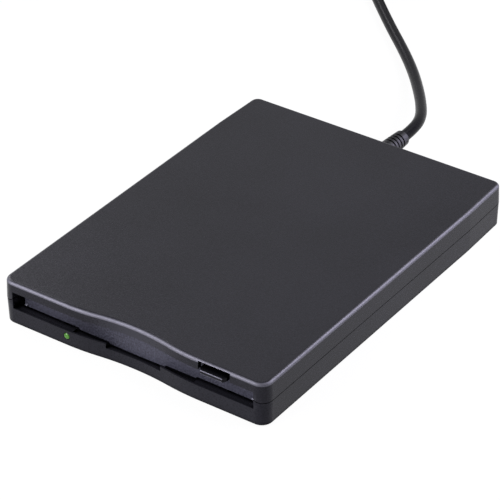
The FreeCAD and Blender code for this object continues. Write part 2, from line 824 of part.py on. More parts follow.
def eject_slider():
    """Frame above the carrier with folded side rails whose slanted slots lift and drop it."""
    rail = box(slider_outer - rail_width, slider_outer, slider_front, slider_rear,
               slider_low_z, slider_top_z)
    fold = box(slider_inner, slider_outer, slider_front, slider_rear,
               pin_z - carrier_drop - rail_depth, slider_top_z)
    half = joined([rail, fold]).cut([ramp_slot(front_pin_y), ramp_slot(rear_pin_y)])
    cross = box(-slider_outer, slider_outer, slider_front, slider_front + cross_width,
                slider_low_z, slider_top_z)
    return joined([cross] + both_sides(half))


def eject_button():
    """Bar key that stands out under its window's top, ends tapering forward, on a stem over the flap."""
    middle = window_left + window_width / 2
    nose_y = front_y - button_reach
    back_y = flap_front - sheet_gap
    low = slot_top_z
    plan = [Vector(middle - button_nose_half, nose_y, low), Vector(middle + button_nose_half, nose_y, low),
            Vector(middle + button_half, front_y, low), Vector(middle + button_half, back_y, low),
            Vector(middle - button_half, back_y, low), Vector(middle - button_half, front_y, low)]
    head = prism(plan, button_height, Vector(0, 0, 1))
    nose_edges = [edge for edge in head.Edges
                  if abs(edge.BoundBox.YMax - nose_y) < 1e-4 and edge.BoundBox.ZLength < 1e-4]
    head = head.makeFillet(button_round, nose_edges)
    root_y = back_y - stem_root
    stem = box(stem_left, stem_left + stem_width, root_y, slider_front + stem_lap,
               slider_top_z, slider_top_z + stem_thick)
    spine = box(stem_left + spine_inset, stem_left + stem_width - spine_inset,
                root_y, slider_front - sheet_gap, stem_low, roof_z - face_gap)
    return joined([head, stem, spine])


# ---- shutter lever ----

def shutter_lever():
    """Swinging arm on a post over the carrier, with a finger down through the curved slot."""
    low = carrier_top_z + face_gap
    angle = math.radians(lever_start)
    tip_x = lever_x + lever_reach * math.cos(angle)
    tip_y = lever_y + lever_reach * math.sin(angle)
    side_x = lever_nose * math.sin(angle)
    side_y = lever_nose * math.cos(angle)
    corners = [Vector(lever_x + lever_taper * side_x, lever_y - lever_taper * side_y, low),
               Vector(tip_x + side_x, tip_y - side_y, low),
               Vector(tip_x - side_x, tip_y + side_y, low),
               Vector(lever_x - lever_taper * side_x, lever_y + lever_taper * side_y, low)]
    blade = prism(corners, lever_thick, Vector(0, 0, 1))
    hub = post(lever_x, lever_y, low, low + lever_thick, lever_nose * lever_taper)
    nose = post(tip_x, tip_y, low, low + lever_thick, lever_nose)
    finger = post(tip_x, tip_y, channel_low_z + finger_rise, low, lever_finger_radius)
    bore = post(lever_x, lever_y, low - 1, low + 2, lever_post_radius + pin_gap)
    return joined([blade, hub, nose, finger]).cut(bore)


def lever_post():
    """Stud riveted in the carrier's roof, with a head over the lever."""
    low = carrier_top_z
    stud = post(lever_x, lever_y, low, low + face_gap + lever_thick + lever_play, lever_post_radius)
    head_low = low + face_gap + lever_thick + lever_play
    head = post(lever_x, lever_y, head_low, head_low + post_head, lever_post_radius + post_brim)
    return joined([stud, head])


# ---- spindle ----
motor_board_half = 19.0
rotor_low_z = base_top_z - 0.2
rotor_top_z = rotor_low_z + rotor_height
housing_radius = 3.2
hub_height = 0.25
sleeve_floor = 0.5


def motor_board():
    low = base_low_z - board_thick
    plate = box(-motor_board_half, motor_board_half, spindle_y - motor_board_half,
                spindle_y + motor_board_half, low, base_low_z)
    return plate.cut(post(0, spindle_y, low - 1, base_low_z + 1, housing_radius + pin_gap))


def spindle_bearing():
    """Flanged sleeve that the shaft turns in."""
    low = base_low_z - board_thick
    sleeve = post(0, spindle_y, low, rotor_top_z - sheet - sheet_gap, housing_radius)
    return sleeve.cut(post(0, spindle_y, low + sleeve_floor, rotor_top_z, shaft_radius + pin_gap))


def stator_core():
    """Laminated ring with radial poles and flared tips."""
    low = base_low_z
    high = base_low_z + core_height
    ring = post(0, spindle_y, low, high, housing_radius + core_ring)
    poles = []
    for index in range(stator_poles):
        arm = box(housing_radius + core_ring / 2, stator_radius - pole_lap,
                  spindle_y - pole_half, spindle_y + pole_half, low, high)
        tip = box(stator_radius - 2 * pole_lap, stator_radius,
                  spindle_y - tip_half, spindle_y + tip_half, low, high)
        pole = arm.fuse(tip)
        pole.rotate(Vector(0, spindle_y, 0), Vector(0, 0, 1), 360.0 * index / stator_poles)
        poles.append(pole)
    core = joined([ring] + poles)
    core = core.common(post(0, spindle_y, low, high, stator_radius))
    return core.cut(post(0, spindle_y, low - 1, high + 1, housing_radius))


def stator_coils():
    """One flat winding over each pole."""
    low = base_low_z + core_height
    coils = []
    for index in range(stator_poles):
        coil = box(housing_radius + coil_inset, stator_radius - coil_outset,
                   spindle_y - coil_half, spindle_y + coil_half, low, low + coil_height)
        coil.rotate(Vector(0, spindle_y, 0), Vector(0, 0, 1), 360.0 * index / stator_poles)
        coils.append(coil)
    return Part.makeCompound(coils)


def spindle_rotor():
    """Cup-shaped rotor with its magnet rim and the raised disc that the disk's hub sits on."""
    cup = post(0, spindle_y, rotor_low_z, rotor_top_z, rotor_radius)
    inside = post(0, spindle_y, rotor_low_z - 1, rotor_top_z - sheet, rotor_radius - rotor_rim)
    seat = post(0, spindle_y, rotor_top_z, rotor_top_z + hub_height, hub_radius)
    cup = joined([cup.cut(inside), seat])
    cup = cup.cut(post(0, spindle_y, rotor_low_z - 1, rotor_top_z + 1, shaft_radius))
    return cup


def spindle_shaft():
    low = base_low_z - board_thick + sleeve_floor + sheet_gap
    shaft = post(0, spindle_y, low, channel_low_z - sheet_gap, shaft_radius)
    return shaft.makeChamfer(shaft_bevel, edges_at(shaft, channel_low_z - sheet_gap))


def drive_pin():
    pin = post(drive_pin_reach, spindle_y, rotor_top_z + hub_height, channel_low_z - drive_pin_gap,
               drive_pin_radius)
    return pin.makeChamfer(drive_pin_bevel, edges_at(pin, channel_low_z - drive_pin_gap))


# ---- heads, lead screw and motor ----
carriage_rear = carriage_front + carriage_length
carriage_low = base_top_z + sheet_gap
arm_low = channel_top_z + 0.8
arm_thick = sheet
head_pad = 3.0
head_height = 0.7
rod_rear = drive_rear - sheet
nut_front = carriage_front
motor_front = drive_rear - sheet - motor_length
ear_inner = arm_half - 1.6


def head_carriage():
    """Moulded slide: bush on the guide rod, forked nut on the screw, ears for the arm, lower arm."""
    bush = box(rod_x - 3.0, rod_x + 3.0, carriage_front, carriage_rear, carriage_low, rod_height + 2.6)
    deck = box(rod_x, arm_half + 3.0, carriage_front, carriage_rear, carriage_low, carriage_low + 1.8)
    fork = box(arm_half + 3.0, screw_x + 2.6, nut_front, nut_front + nut_length, carriage_low,
               lead_height + 2.2)
    ears = [box(side * arm_half - 0.8, side * arm_half + 0.8, arm_pivot_y - 2.0, arm_pivot_y + 2.0,
                carriage_low + 1.8, arm_low + 0.9) for side in (-1, 1)]
    lower_arm = box(-3.6, 3.6, head_y - head_pad - 1, carriage_front, carriage_low, carriage_low + 0.8)
    body = joined([bush, deck, fork, lower_arm] + ears)
    cuts = [rod_along_y(rod_x, rod_height, carriage_front - 1, carriage_rear + 1, rod_radius + pin_gap)]
    cuts.append(rod_along_y(screw_x, lead_height, nut_front - 1, nut_front + nut_length + 1,
                            lead_radius + pin_gap))
    cuts.append(rod_along_x(arm_pivot_y, arm_low, -half_width, half_width, pivot_radius + pin_gap))
    return body.cut(cuts)


def lower_head():
    return box(-1.8, 1.8, head_y - head_pad, head_y + head_pad, carriage_low + 0.8, channel_low_z - 0.3)


def head_arm():
    """Upper arm: flat blade stepped to a narrow tip, a barrel and its pin between the carriage's ears."""
    outline = [Vector(-ear_inner, arm_pivot_y, arm_low), Vector(-ear_inner, head_y + 12, arm_low),
               Vector(-2.4, head_y + 6, arm_low), Vector(-2.4, head_y - head_pad, arm_low),
               Vector(2.4, head_y - head_pad, arm_low), Vector(2.4, head_y + 6, arm_low),
               Vector(ear_inner, head_y + 12, arm_low), Vector(ear_inner, arm_pivot_y, arm_low)]
    blade = prism(outline, arm_thick, Vector(0, 0, 1))
    blade = blade.cut(box(-1.4, 1.4, head_y + 13, arm_pivot_y - 4, arm_low - 1, arm_low + 2))
    barrel = rod_along_x(arm_pivot_y, arm_low, -ear_inner, ear_inner, 1.1)
    pin = rod_along_x(arm_pivot_y, arm_low, -arm_half - 0.8, arm_half + 0.8, pivot_radius)
    return joined([blade, barrel, pin])


def upper_head():
    return box(-1.8, 1.8, head_y - head_pad, head_y + head_pad, arm_low - head_height + 0.05, arm_low)


def guide_rod():
    return rod_along_y(rod_x, rod_height, rod_front, rod_rear, rod_radius)


def rod_clips():
    """Two saddles that hold the rod's ends on the chassis."""
    clips = []
    for front in (rod_front, rod_rear - clip_length):
        body = box(rod_x - 2.6, rod_x + 2.6, front, front + clip_length, base_top_z,
                   rod_height + rod_radius + 0.6)
        clips.append(body.cut(rod_along_y(rod_x, rod_height, front - 1, front + 3, rod_radius)))
    return Part.makeCompound(clips)


def lead_screw():
    return rod_along_y(screw_x, lead_height, rod_front + face_gap, motor_front + face_gap, lead_radius)


def screw_bearing():
    front = rod_front
    body = box(screw_x - 3.0, screw_x + 3.0, front, front + clip_length, base_top_z, lead_height + 2.6)
    return body.cut(rod_along_y(screw_x, lead_height, front - 1, front + 3, lead_radius + pin_gap))


def stepper_motor():
    """Round motor can in a folded saddle on the chassis."""
    can = rod_along_y(screw_x, lead_height, motor_front, drive_rear - sheet, motor_radius)
    saddle = box(screw_x - 2.5, screw_x + 2.5, motor_front + 1.0, drive_rear - sheet - 1.0,
                 base_top_z, lead_height)
    body = joined([can, saddle])
    return body.cut(rod_along_y(screw_x, lead_height, motor_front - 1, motor_front + 1.5,
                                lead_radius + 0.3))


# ---- electronics ----
usb_chip_x = -16.0
chip_side = 7.0
chip_thick = 1.0
chip_spacing = 24.0
chips_setback = 34.0
crystal_x = 22.0


def main_board():
    low = base_low_z - board_thick
    half = chassis_outer - 3.8
    plate = box(-half, half, spindle_y + motor_board_half + 3.0, drive_rear - 2.0, low, base_low_z)
    holes = [post(side * post_x, post_rear_y, low - 1, base_low_z + 1, post_radius + face_gap)
             for side in (-1, 1)]
    return plate.cut(holes)


def controller_chips():
    """Three flat packages on the underside of the main board."""
    high = base_low_z - board_thick
    front = drive_rear - chips_setback
    return Part.makeCompound([box(x - chip_side / 2, x + chip_side / 2, front, front + chip_side,
                                  high - chip_thick, high) for x in (-chip_spacing, 0.0, chip_spacing)])


def usb_board():
    plate = box(-usb_board_half, usb_board_half, usb_board_front, usb_board_rear,
                usb_board_z, usb_board_z + board_thick)
    return plate


def usb_chip():
    low = usb_board_z + board_thick
    body = box(usb_chip_x - chip_side / 2, usb_chip_x + chip_side / 2, usb_board_front + 0.4,
               usb_board_front + 0.4 + chip_side, low, low + chip_thick)
    return body


crystal_half = 3.2
crystal_radius = 2.2
crystal_height = 3.4


def crystal():
    low = usb_board_z + board_thick
    ends = [post(crystal_x + side * crystal_half, usb_post_y, low, low + crystal_height, crystal_radius)
            for side in (-1, 1)]
    middle = box(crystal_x - crystal_half, crystal_x + crystal_half, usb_post_y - crystal_radius,
                 usb_post_y + crystal_radius, low, low + crystal_height)
    return joined([middle] + ends)


# ---- socket, ribbon and switches ----
socket_left = 10.0
socket_right = 3.0
socket_front = 4.2
socket_rear = 0.4
socket_height = 3.2
ribbon_socket_half = 9.0
ribbon_socket_length = 1.5
ribbon_socket_height = 1.2
board_socket_length = 2.6
ribbon_half = 7.0
ribbon_start = 1.1
ribbon_end = 0.6
ribbon_low = 0.4
ribbon_high = 0.6
switch_inset = 3.4
switch_setback = 1.0
switch_half = 2.5
switch_height = 0.9
plunger_radius = 0.6


def cord_socket():
    low = usb_board_z + board_thick
    return box(-socket_left, -socket_right, usb_board_rear - socket_front, usb_board_rear - socket_rear,
               low, low + socket_height)


def ribbon_cable():
    """Flat ribbon from the chassis base over to the interface board, with its two sockets."""
    low = base_top_z
    start = drive_rear - ribbon_start
    end = usb_board_front + ribbon_end
    drive_socket = box(-ribbon_socket_half, ribbon_socket_half, start - ribbon_socket_length, start,
                       low, low + ribbon_socket_height)
    ribbon = box(-ribbon_half, ribbon_half, start, end, low + ribbon_low, low + ribbon_high)
    board_socket = box(-ribbon_socket_half, ribbon_socket_half, end, end + board_socket_length,
                       usb_board_z + board_thick, low + ribbon_socket_height)
    return joined([drive_socket, ribbon, board_socket])


def disk_switches():
    """Sensing switches at the front corners, each with a small plunger."""
    units = []
    for side in (-1, 1):
        x = side * (channel_half - flange_reach - switch_inset)
        front = drive_front + switch_setback
        top = base_top_z + switch_height
        body = box(x - switch_half, x + switch_half, front, front + 2 * switch_half, base_top_z, top)
        plunger = post(x, front + switch_half, top, channel_low_z - disk_gap, plunger_radius)
        units.append(joined([body, plunger]))
    return Part.makeCompound(units)


# ---- strain relief and cord ----

def strain_relief():
    """Moulded sleeve: inner flange, neck in the case's bore, collar, then a slotted taper."""
    start = rear_y + weld
    end = rear_y + relief_length
    flange = rod_along_y(relief_x, parting_z, relief_flange_y - relief_flange, relief_flange_y,
                         relief_radius + relief_brim)
    neck = rod_along_y(relief_x, parting_z, relief_flange_y, start, relief_neck)
    collar_end = start + relief_collar
    collar = rod_along_y(relief_x, parting_z, start, collar_end, relief_radius)
    taper = Part.makeCone(relief_radius, relief_end_radius, end - collar_end,
                          Vector(relief_x, collar_end, parting_z), Vector(0, 1, 0))
    sleeve = joined([flange, neck, collar, taper])
    slots = []
    depth = relief_radius - cord_radius - relief_core
    for index in range(relief_slots):
        y = end - relief_nose - relief_pitch * (index + 1)
        for side in (-1, 1):
            offset = 0 if side < 0 else relief_pitch / 2
            cutter = box(-2 * relief_radius, 2 * relief_radius, y + offset, y + offset + relief_slot,
                         0, 2 * relief_radius)
            core = rod_along_y(0, 0, y + offset - 1, y + offset + relief_slot + 1, relief_radius - depth)
            ring = cutter.cut(core)
            ring.rotate(Vector(0, 0, 0), Vector(0, 1, 0), 55 if side < 0 else 235)
            ring.translate(Vector(relief_x, 0, parting_z))
            slots.append(ring)
    return sleeve.cut(slots)


# Route of the cord's free stretch, chosen by hand from the sleeve's mouth to the coil.
cord_route = [
    (1.0, rear_y + relief_length, parting_z),
    (1.0, 94.4, parting_z),
    (-2.1, 104.2, 8.1),
    (-8.8, 114.9, 6.3),
    (-17.5, 126.6, 4.5),
    (-27.2, 138.4, 3.1),
    (-39.0, 150.6, 2.35),
    (-52.5, 163.0, cord_level),
    (-66.5, 176.5, cord_level),
    (-79.0, 190.0, cord_level),
    (-91.3, 204.0, cord_level),
]
# Short stretch from the coil's outer side to the plug, ending along +Y.
plug_route = [
    (coil_x - coil_radius, coil_y, 4.3),
    (coil_x - coil_radius, 227.0, 4.3),
    (-94.0, 236.5, 4.2),
    (-90.5, 245.5, 4.0),
    (-90.5, 254.5, 4.0),
]


def corner_radius(before, corner, after):
    """Largest neat bend: 0.45 of the shorter run over the tangent of half the turn."""
    first = corner - before
    second = after - corner
    turn = first.getAngle(second)
    return 0.45 * min(first.Length, second.Length) / math.tan(turn / 2)


def routed_tube(route, radius, name):
    """Round tube along straight runs joined by tangent arcs."""
    points = [Vector(*point) for point in route]
    edges = []
    here = points[0]
    radii = []
    for before, corner, after in zip(points, points[1:], points[2:]):
        bend = corner_radius(before, corner, after)
        radii.append(bend)
        first = (corner - before).normalize()
        second = (after - corner).normalize()
        turn = first.getAngle(second)
        reach = bend * math.tan(turn / 2)
        start = corner - first * reach
        end = corner + second * reach
        towards = (second - first).normalize()
        middle = corner + towards * (bend / math.cos(turn / 2) - bend)
        edges.append(line(here, start))
        edges.append(arc(start, middle, end))
        here = end
    edges.append(line(here, points[-1]))
    path = Part.Wire(edges)
    ring = Part.Wire(Part.makeCircle(radius, points[0], (points[1] - points[0]).normalize()))
    tube = path.makePipeShell([ring], True, False)
    share = tube.Volume / (math.pi * radius ** 2 * path.Length)
    print(name, "radii", [round(value, 1) for value in radii], "length", round(path.Length, 1),
          "volume share", round(share, 4))
    return tube


def cord_coil():
    """Outer shape of the coiled length: a ring with rounded edges, lying flat."""
    wire = 2 * cord_radius
    wide = coil_wires_wide * wire
    high = coil_wires_high * wire
    low = cord_level - cord_radius
    outer = post(coil_x, coil_y, low, low + high, coil_radius + wide / 2)
    ring = outer.cut(post(coil_x, coil_y, low - 1, low + high + 1, coil_radius - wide / 2))
    rims = [edge for edge in ring.Edges if edge.Closed]
    return ring.makeChamfer(cord_radius * 0.6, rims)


plug_x = plug_route[-1][0]
plug_rear = plug_route[-1][1]
plug_face = plug_rear + plug_length
shell_low = plug_height / 2 - shell_height / 2
latch_near = 6.5
latch_far = 9.0
latch_half = 1.2
latch_x = 3.2


def plug_body():
    """Moulded grip, lying flat, its metal nose towards +Y."""
    grip = box(plug_x - plug_width / 2, plug_x + plug_width / 2, plug_rear, plug_face, 0.0, plug_height)
    upright = [edge for edge in grip.Edges if abs(edge.Length - plug_height) < 1e-4]
    return grip.makeFillet(plug_round, upright)


def plug_shell():
    """Folded metal sleeve, open at its front, with two latch windows in its upper side."""
    half = shell_width / 2
    sleeve = box(plug_x - half, plug_x + half, plug_face, plug_face + shell_length,
                 shell_low, shell_low + shell_height)
    hollow = box(plug_x - half + shell_sheet, plug_x + half - shell_sheet, plug_face + sheet,
                 plug_face + shell_length + 1, shell_low + shell_sheet, shell_low + shell_height - shell_sheet)
    windows = [box(plug_x + side * latch_x - latch_half, plug_x + side * latch_x + latch_half,
                   plug_face + latch_near, plug_face + latch_far, shell_low + shell_height / 2,
                   shell_low + shell_height + 1) for side in (-1, 1)]
    return sleeve.cut([hollow] + windows)


def plug_tongue():
    half = shell_width / 2 - shell_sheet
    low = shell_low + shell_sheet
    return box(plug_x - half, plug_x + half, plug_face + sheet, plug_face + shell_length - tongue_setback,
               low, low + tongue_thick)


def build():
    os.makedirs("parts", exist_ok=True)
    save("bottom_case", bottom_case())
    save("top_case", top_case())
    for name, side, y in (("foot_front_left", -1, foot_front_y), ("foot_front_right", 1, foot_front_y),
                          ("foot_rear_left", -1, foot_rear_y), ("foot_rear_right", 1, foot_rear_y)):
        save(name, rubber_foot(side, y))
    save("case_screws", case_screws())
    save("activity_led", activity_led())
    save("disk_flap", disk_flap())
    save("flap_spring", flap_spring())
    save("drive_chassis", drive_chassis())
    save("drive_cover", drive_cover())
    save("drive_screws", drive_screws())
    save("disk_carrier", disk_carrier())
    save("eject_slider", eject_slider())
    save("eject_button", eject_button())
    save("shutter_lever", shutter_lever())
    save("lever_post", lever_post())
    save("motor_board", motor_board())
    save("spindle_bearing", spindle_bearing())
    save("stator_core", stator_core())
    save("stator_coils", stator_coils())
    save("spindle_rotor", spindle_rotor())
    save("spindle_shaft", spindle_shaft())
    save("drive_pin", drive_pin())
    save("head_carriage", head_carriage())
    save("lower_head", lower_head())
    save("head_arm", head_arm())
    save("upper_head", upper_head())
    save("guide_rod", guide_rod())
    save("rod_clips", rod_clips())
    save("lead_screw", lead_screw())
    save("screw_bearing", screw_bearing())
    save("stepper_motor", stepper_motor())
    save("main_board", main_board())
    save("controller_chips", controller_chips())
    save("usb_board", usb_board())
    save("usb_chip", usb_chip())
    save("crystal", crystal())
    save("cord_socket", cord_socket())
    save("ribbon_cable", ribbon_cable())
    save("disk_switches", disk_switches())
    save("strain_relief", strain_relief())
    save("usb_cord", routed_tube(cord_route, cord_radius, "cord"))
    save("usb_cord_coil", cord_coil())
    save("usb_cord_end", routed_tube(plug_route, cord_radius, "cord end"))
    save("usb_plug_body", plug_body())
    save("usb_plug_shell", plug_shell())
    save("usb_plug_tongue", plug_tongue())


build()
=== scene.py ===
import math
import bpy
from mathutils import Matrix, Vector


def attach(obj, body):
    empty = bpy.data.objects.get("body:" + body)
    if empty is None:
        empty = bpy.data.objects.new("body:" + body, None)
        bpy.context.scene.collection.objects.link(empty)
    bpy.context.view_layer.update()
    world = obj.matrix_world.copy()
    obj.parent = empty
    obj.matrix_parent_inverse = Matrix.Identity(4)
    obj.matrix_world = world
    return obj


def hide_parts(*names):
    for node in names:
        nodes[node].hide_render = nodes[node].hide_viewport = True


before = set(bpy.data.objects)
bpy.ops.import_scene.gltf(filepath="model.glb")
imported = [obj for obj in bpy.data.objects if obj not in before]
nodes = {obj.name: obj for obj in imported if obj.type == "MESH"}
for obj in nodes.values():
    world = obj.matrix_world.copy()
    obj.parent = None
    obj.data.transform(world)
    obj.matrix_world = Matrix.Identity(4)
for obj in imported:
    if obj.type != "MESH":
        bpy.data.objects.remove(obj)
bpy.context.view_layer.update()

# angles in degrees, target and distance in metres, lens and sensor in millimetres
viewpoint = {"target": (-0.001483, -0.003282, 0.0098), "azimuth": 35.512, "elevation": 33.567,
             "roll": -0.508, "distance": 0.88892, "lens": 193.01, "sensor": 36.0, "clipStart": 0.01}


def placeCamera():
    azimuth = math.radians(viewpoint["azimuth"])
    elevation = math.radians(viewpoint["elevation"])
    roll = math.radians(viewpoint["roll"])
    back = Vector((math.sin(azimuth) * math.cos(elevation), -math.cos(azimuth) * math.cos(elevation),
                   math.sin(elevation)))
    right = (-back).cross(Vector((0, 0, 1))).normalized()
    up = right.cross(-back)
    across = right * math.cos(roll) + up * math.sin(roll)
    upward = up * math.cos(roll) - right * math.sin(roll)
    data = bpy.data.cameras.new("deskCamera")
    data.lens = viewpoint["lens"]
    data.sensor_width = viewpoint["sensor"]
    data.clip_start = viewpoint["clipStart"]
    camera = bpy.data.objects.new("deskCamera", data)
    bpy.context.scene.collection.objects.link(camera)
    place = Matrix((across, upward, back)).transposed().to_4x4()
    place.translation = Vector(viewpoint["target"]) + back * viewpoint["distance"]
    camera.matrix_world = place
    bpy.context.scene.camera = camera


placeCamera()
print("camera placed")

# one line in metres: from the sleeve to the coil, and from the coil to the plug
cordShape = {
    "radius": 0.0021,
    "length": 0.6,
    "route": [
        (0.001, 0.0865, 0.0093),
        (0.001, 0.0944, 0.0093),
        (-0.0021, 0.1042, 0.0081),
        (-0.0088, 0.1149, 0.0063),
        (-0.0175, 0.1266, 0.0045),
        (-0.0272, 0.1384, 0.0031),
        (-0.039, 0.1506, 0.00235),
        (-0.0525, 0.163, 0.0022),
        (-0.0665, 0.1765, 0.0022),
        (-0.0795, 0.1895, 0.0022),
    ],
    "endRoute": [
        (-0.0982, 0.2275, 0.0063),
        (-0.0951, 0.2370, 0.0051),
        (-0.0905, 0.2460, 0.004),
        (-0.0905, 0.2545, 0.004),
    ],
    "bevelSteps": 6,
    "stepsPerSpan": 6,
}
# the coil between them: outer turn, inner turn, another inner turn on top of it, then out to the plug;
# inwards, rise and outwards are stretches of the winding, in degrees from where it starts
coilShape = {
    "centre": (-0.0745, 0.218),
    "radius": 0.0215,
    "entryAngle": 220.5,
    "windAngle": 1120.5,
    "pointsPerTurn": 16,
    "bottomLayer": 0.0022,
    "topLayer": 0.0064,
    "inwards": (290, 350),
    "rise": (640, 690),
    "outwards": (975, 1030),
}


def easeBetween(value, low, high):
    share = min(max((value - low) / (high - low), 0), 1)
    return share * share * (3 - 2 * share)


def coilPoints():
    plan = coilShape
    spread = cordShape["radius"]
    outer = plan["radius"] + spread
    stepCount = round(plan["windAngle"] * plan["pointsPerTurn"] / 360)
    points = []
    for step in range(stepCount + 1):
        wound = plan["windAngle"] * step / stepCount
        inwards = easeBetween(wound, *plan["inwards"]) - easeBetween(wound, *plan["outwards"])
        risen = easeBetween(wound, *plan["rise"])
        # a little wider than the turn, because the smooth line runs inside its points
        reach = (outer - 2 * spread * inwards) / math.cos(math.pi / plan["pointsPerTurn"])
        angle = math.radians(plan["entryAngle"] - wound)
        level = plan["bottomLayer"] + (plan["topLayer"] - plan["bottomLayer"]) * risen
        points.append((plan["centre"][0] + reach * math.cos(angle),
                       plan["centre"][1] + reach * math.sin(angle), level))
    return points


def makeCord():
    plan = cordShape
    data = bpy.data.curves.new("dataCord", "CURVE")
    data.dimensions = "3D"
    points = plan["route"] + coilPoints() + plan["endRoute"]
    spline = data.splines.new("NURBS")
    spline.points.add(len(points) - 1)
    for target, place in zip(spline.points, points):
        target.co = (*place, 1)
        target.radius = plan["radius"]
    spline.order_u = 3
    spline.use_endpoint_u = True
    data.resolution_u = plan["stepsPerSpan"]
    data.bevel_depth = 1.0  # each point's own radius gives the thickness
    data.bevel_resolution = plan["bevelSteps"]
    data.use_fill_caps = True
    cord = bpy.data.objects.new("dataCord", data)
    bpy.context.scene.collection.objects.link(cord)
    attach(cord, "case")
    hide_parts("usb_cord", "usb_cord_coil", "usb_cord_end")
    return cord


dataCord = makeCord()
print("cord laid")


def linearColour(code):
    channels = [int(code[i:i + 2], 16) / 255 for i in (1, 3, 5)]
    return [c / 12.92 if c <= 0.04045 else ((c + 0.055) / 1.055) ** 2.4 for c in channels] + [1.0]


def addNode(tree, kind, settings=None, links=None):
    # a setting is one of the node's own options, or the value of a named or numbered input
    node = tree.nodes.new(kind)
    for name, value in (settings or {}).items():
        if isinstance(name, str) and hasattr(node, name):
            setattr(node, name, value)
        else:
            node.inputs[name].default_value = value
    for name, source in (links or {}).items():
        tree.links.new(source, node.inputs[name])
    return node


def newMaterial(name, settings):
    material = bpy.data.materials.new(name)
    material.use_nodes = True
    tree = material.node_tree
    tree.nodes.clear()
    shader = addNode(tree, "ShaderNodeBsdfPrincipled", settings)
    output = addNode(tree, "ShaderNodeOutputMaterial")
    tree.links.new(shader.outputs[0], output.inputs["Surface"])
    material.diffuse_color = settings["Base Color"]
    place = addNode(tree, "ShaderNodeTexCoord").outputs["Object"]
    return material, tree, shader, place


# what all the moulded plastics share: the grain's own noise, a broad unevenness from the mould's flow,
# a roughness that wanders with the grain, glossier rounded edges carrying a painted highlight, and painted
# shade in cavities; lengths in metres
plasticLook = {
    "ior": 1.52, "grainDetail": 2.0, "grainRoughness": 0.6, "bump": 0.6,
    "patch": 0.03, "patchDetail": 1.0, "patchShare": 0.5, "toneRange": (0.5, 1.0),
    "glossRange": (0.3, 0.7), "smoother": 0.04, "rougher": 0.06,
    "edgeFrom": 0.04, "edgeTo": 0.2,  # how far a surface leans from level or upright to be an edge
    "edgeRoughness": 0.26, "edgeLevel": 0.42, "edgeBump": 0.05,
    "cavitySamples": 8, "cavityReach": 0.0025, "cavityFrom": 0.6, "cavityTo": 0.95,
    "paintedShadeColour": "#020203",
}


def mottledPlastic(name, dark, light, grain, relief, roughness, specular=0.5, sheen="#ffffff",
                   paintedEdgeHighlight=None):
    # two close shades in an eroded grain; the optional edge colour is a painted highlight, a paler shade
    # laid on the rounded edges, which are also made glossier
    look = plasticLook
    material, tree, shader, place = newMaterial(name, {
        "Base Color": linearColour(dark), "IOR": look["ior"], "Specular IOR Level": specular,
        "Specular Tint": linearColour(sheen)})
    fine = addNode(tree, "ShaderNodeTexNoise", {
        "Scale": 1 / grain, "Detail": look["grainDetail"], "Roughness": look["grainRoughness"]},
        {"Vector": place})
    broad = addNode(tree, "ShaderNodeTexNoise", {
        "Scale": 1 / look["patch"], "Detail": look["patchDetail"]}, {"Vector": place})
    blend = addNode(tree, "ShaderNodeMath", {"operation": "MULTIPLY_ADD", 1: look["patchShare"]},
                    {0: broad.outputs["Fac"], 2: fine.outputs["Fac"]})
    tone = addNode(tree, "ShaderNodeMapRange", {
        "From Min": look["toneRange"][0], "From Max": look["toneRange"][1]},
        {"Value": blend.outputs[0]})
    colour = addNode(tree, "ShaderNodeMix", {
        "data_type": "RGBA", 6: linearColour(dark), 7: linearColour(light)}, {0: tone.outputs[0]})
    gloss = addNode(tree, "ShaderNodeMapRange", {
        "From Min": look["glossRange"][0], "From Max": look["glossRange"][1],
        "To Min": roughness - look["smoother"], "To Max": roughness + look["rougher"]},
        {"Value": fine.outputs["Fac"]})
    bump = addNode(tree, "ShaderNodeBump", {"Strength": look["bump"], "Distance": relief},
                   {"Height": fine.outputs["Fac"]})
    if paintedEdgeHighlight:
        # nought where the surface is level or upright, most where it slopes between them
        facing = addNode(tree, "ShaderNodeTexCoord").outputs["Normal"]
        upward = addNode(tree, "ShaderNodeSeparateXYZ", {}, {0: facing})
        rounded = addNode(tree, "ShaderNodeMath", {"operation": "PINGPONG", 1: 0.5},
                          {0: upward.outputs["Z"]})
        edge = addNode(tree, "ShaderNodeMapRange", {
            "From Min": look["edgeFrom"], "From Max": look["edgeTo"], "To Max": 1.0},
            {"Value": rounded.outputs[0]})
        # painted highlight: the rounded edges are blended towards the paler edge colour
        colour = addNode(tree, "ShaderNodeMix", {"data_type": "RGBA", 7: linearColour(paintedEdgeHighlight)},
                         {0: edge.outputs[0], 6: colour.outputs[2]})
        gloss = addNode(tree, "ShaderNodeMath", {
            "operation": "MULTIPLY_ADD", 1: look["edgeRoughness"]},
            {0: edge.outputs[0], 2: gloss.outputs[0]})
        level = addNode(tree, "ShaderNodeMath", {
            "operation": "MULTIPLY_ADD", 1: look["edgeLevel"], 2: specular}, {0: edge.outputs[0]})
        # painted shade: narrow gaps and slots see little light, so their colour is darkened and their shine
        # cut, standing in for the shade that falls there
        cavity = addNode(tree, "ShaderNodeAmbientOcclusion", {
            "samples": look["cavitySamples"], "Distance": look["cavityReach"]})
        opened = addNode(tree, "ShaderNodeMapRange", {
            "From Min": look["cavityFrom"], "From Max": look["cavityTo"]},
            {"Value": cavity.outputs["AO"]})
        colour = addNode(tree, "ShaderNodeMix", {
            "data_type": "RGBA", 6: linearColour(look["paintedShadeColour"])},
            {0: opened.outputs[0], 7: colour.outputs[2]})
        level = addNode(tree, "ShaderNodeMath", {"operation": "MULTIPLY"},
                        {0: level.outputs[0], 1: opened.outputs[0]})
        worn = addNode(tree, "ShaderNodeMapRange", {
            "To Min": look["bump"], "To Max": look["edgeBump"]}, {"Value": edge.outputs[0]})
        tree.links.new(level.outputs[0], shader.inputs["Specular IOR Level"])
        tree.links.new(worn.outputs[0], bump.inputs["Strength"])
    tree.links.new(colour.outputs[2], shader.inputs["Base Color"])
    tree.links.new(gloss.outputs[0], shader.inputs["Roughness"])
    tree.links.new(bump.outputs[0], shader.inputs["Normal"])
    return material


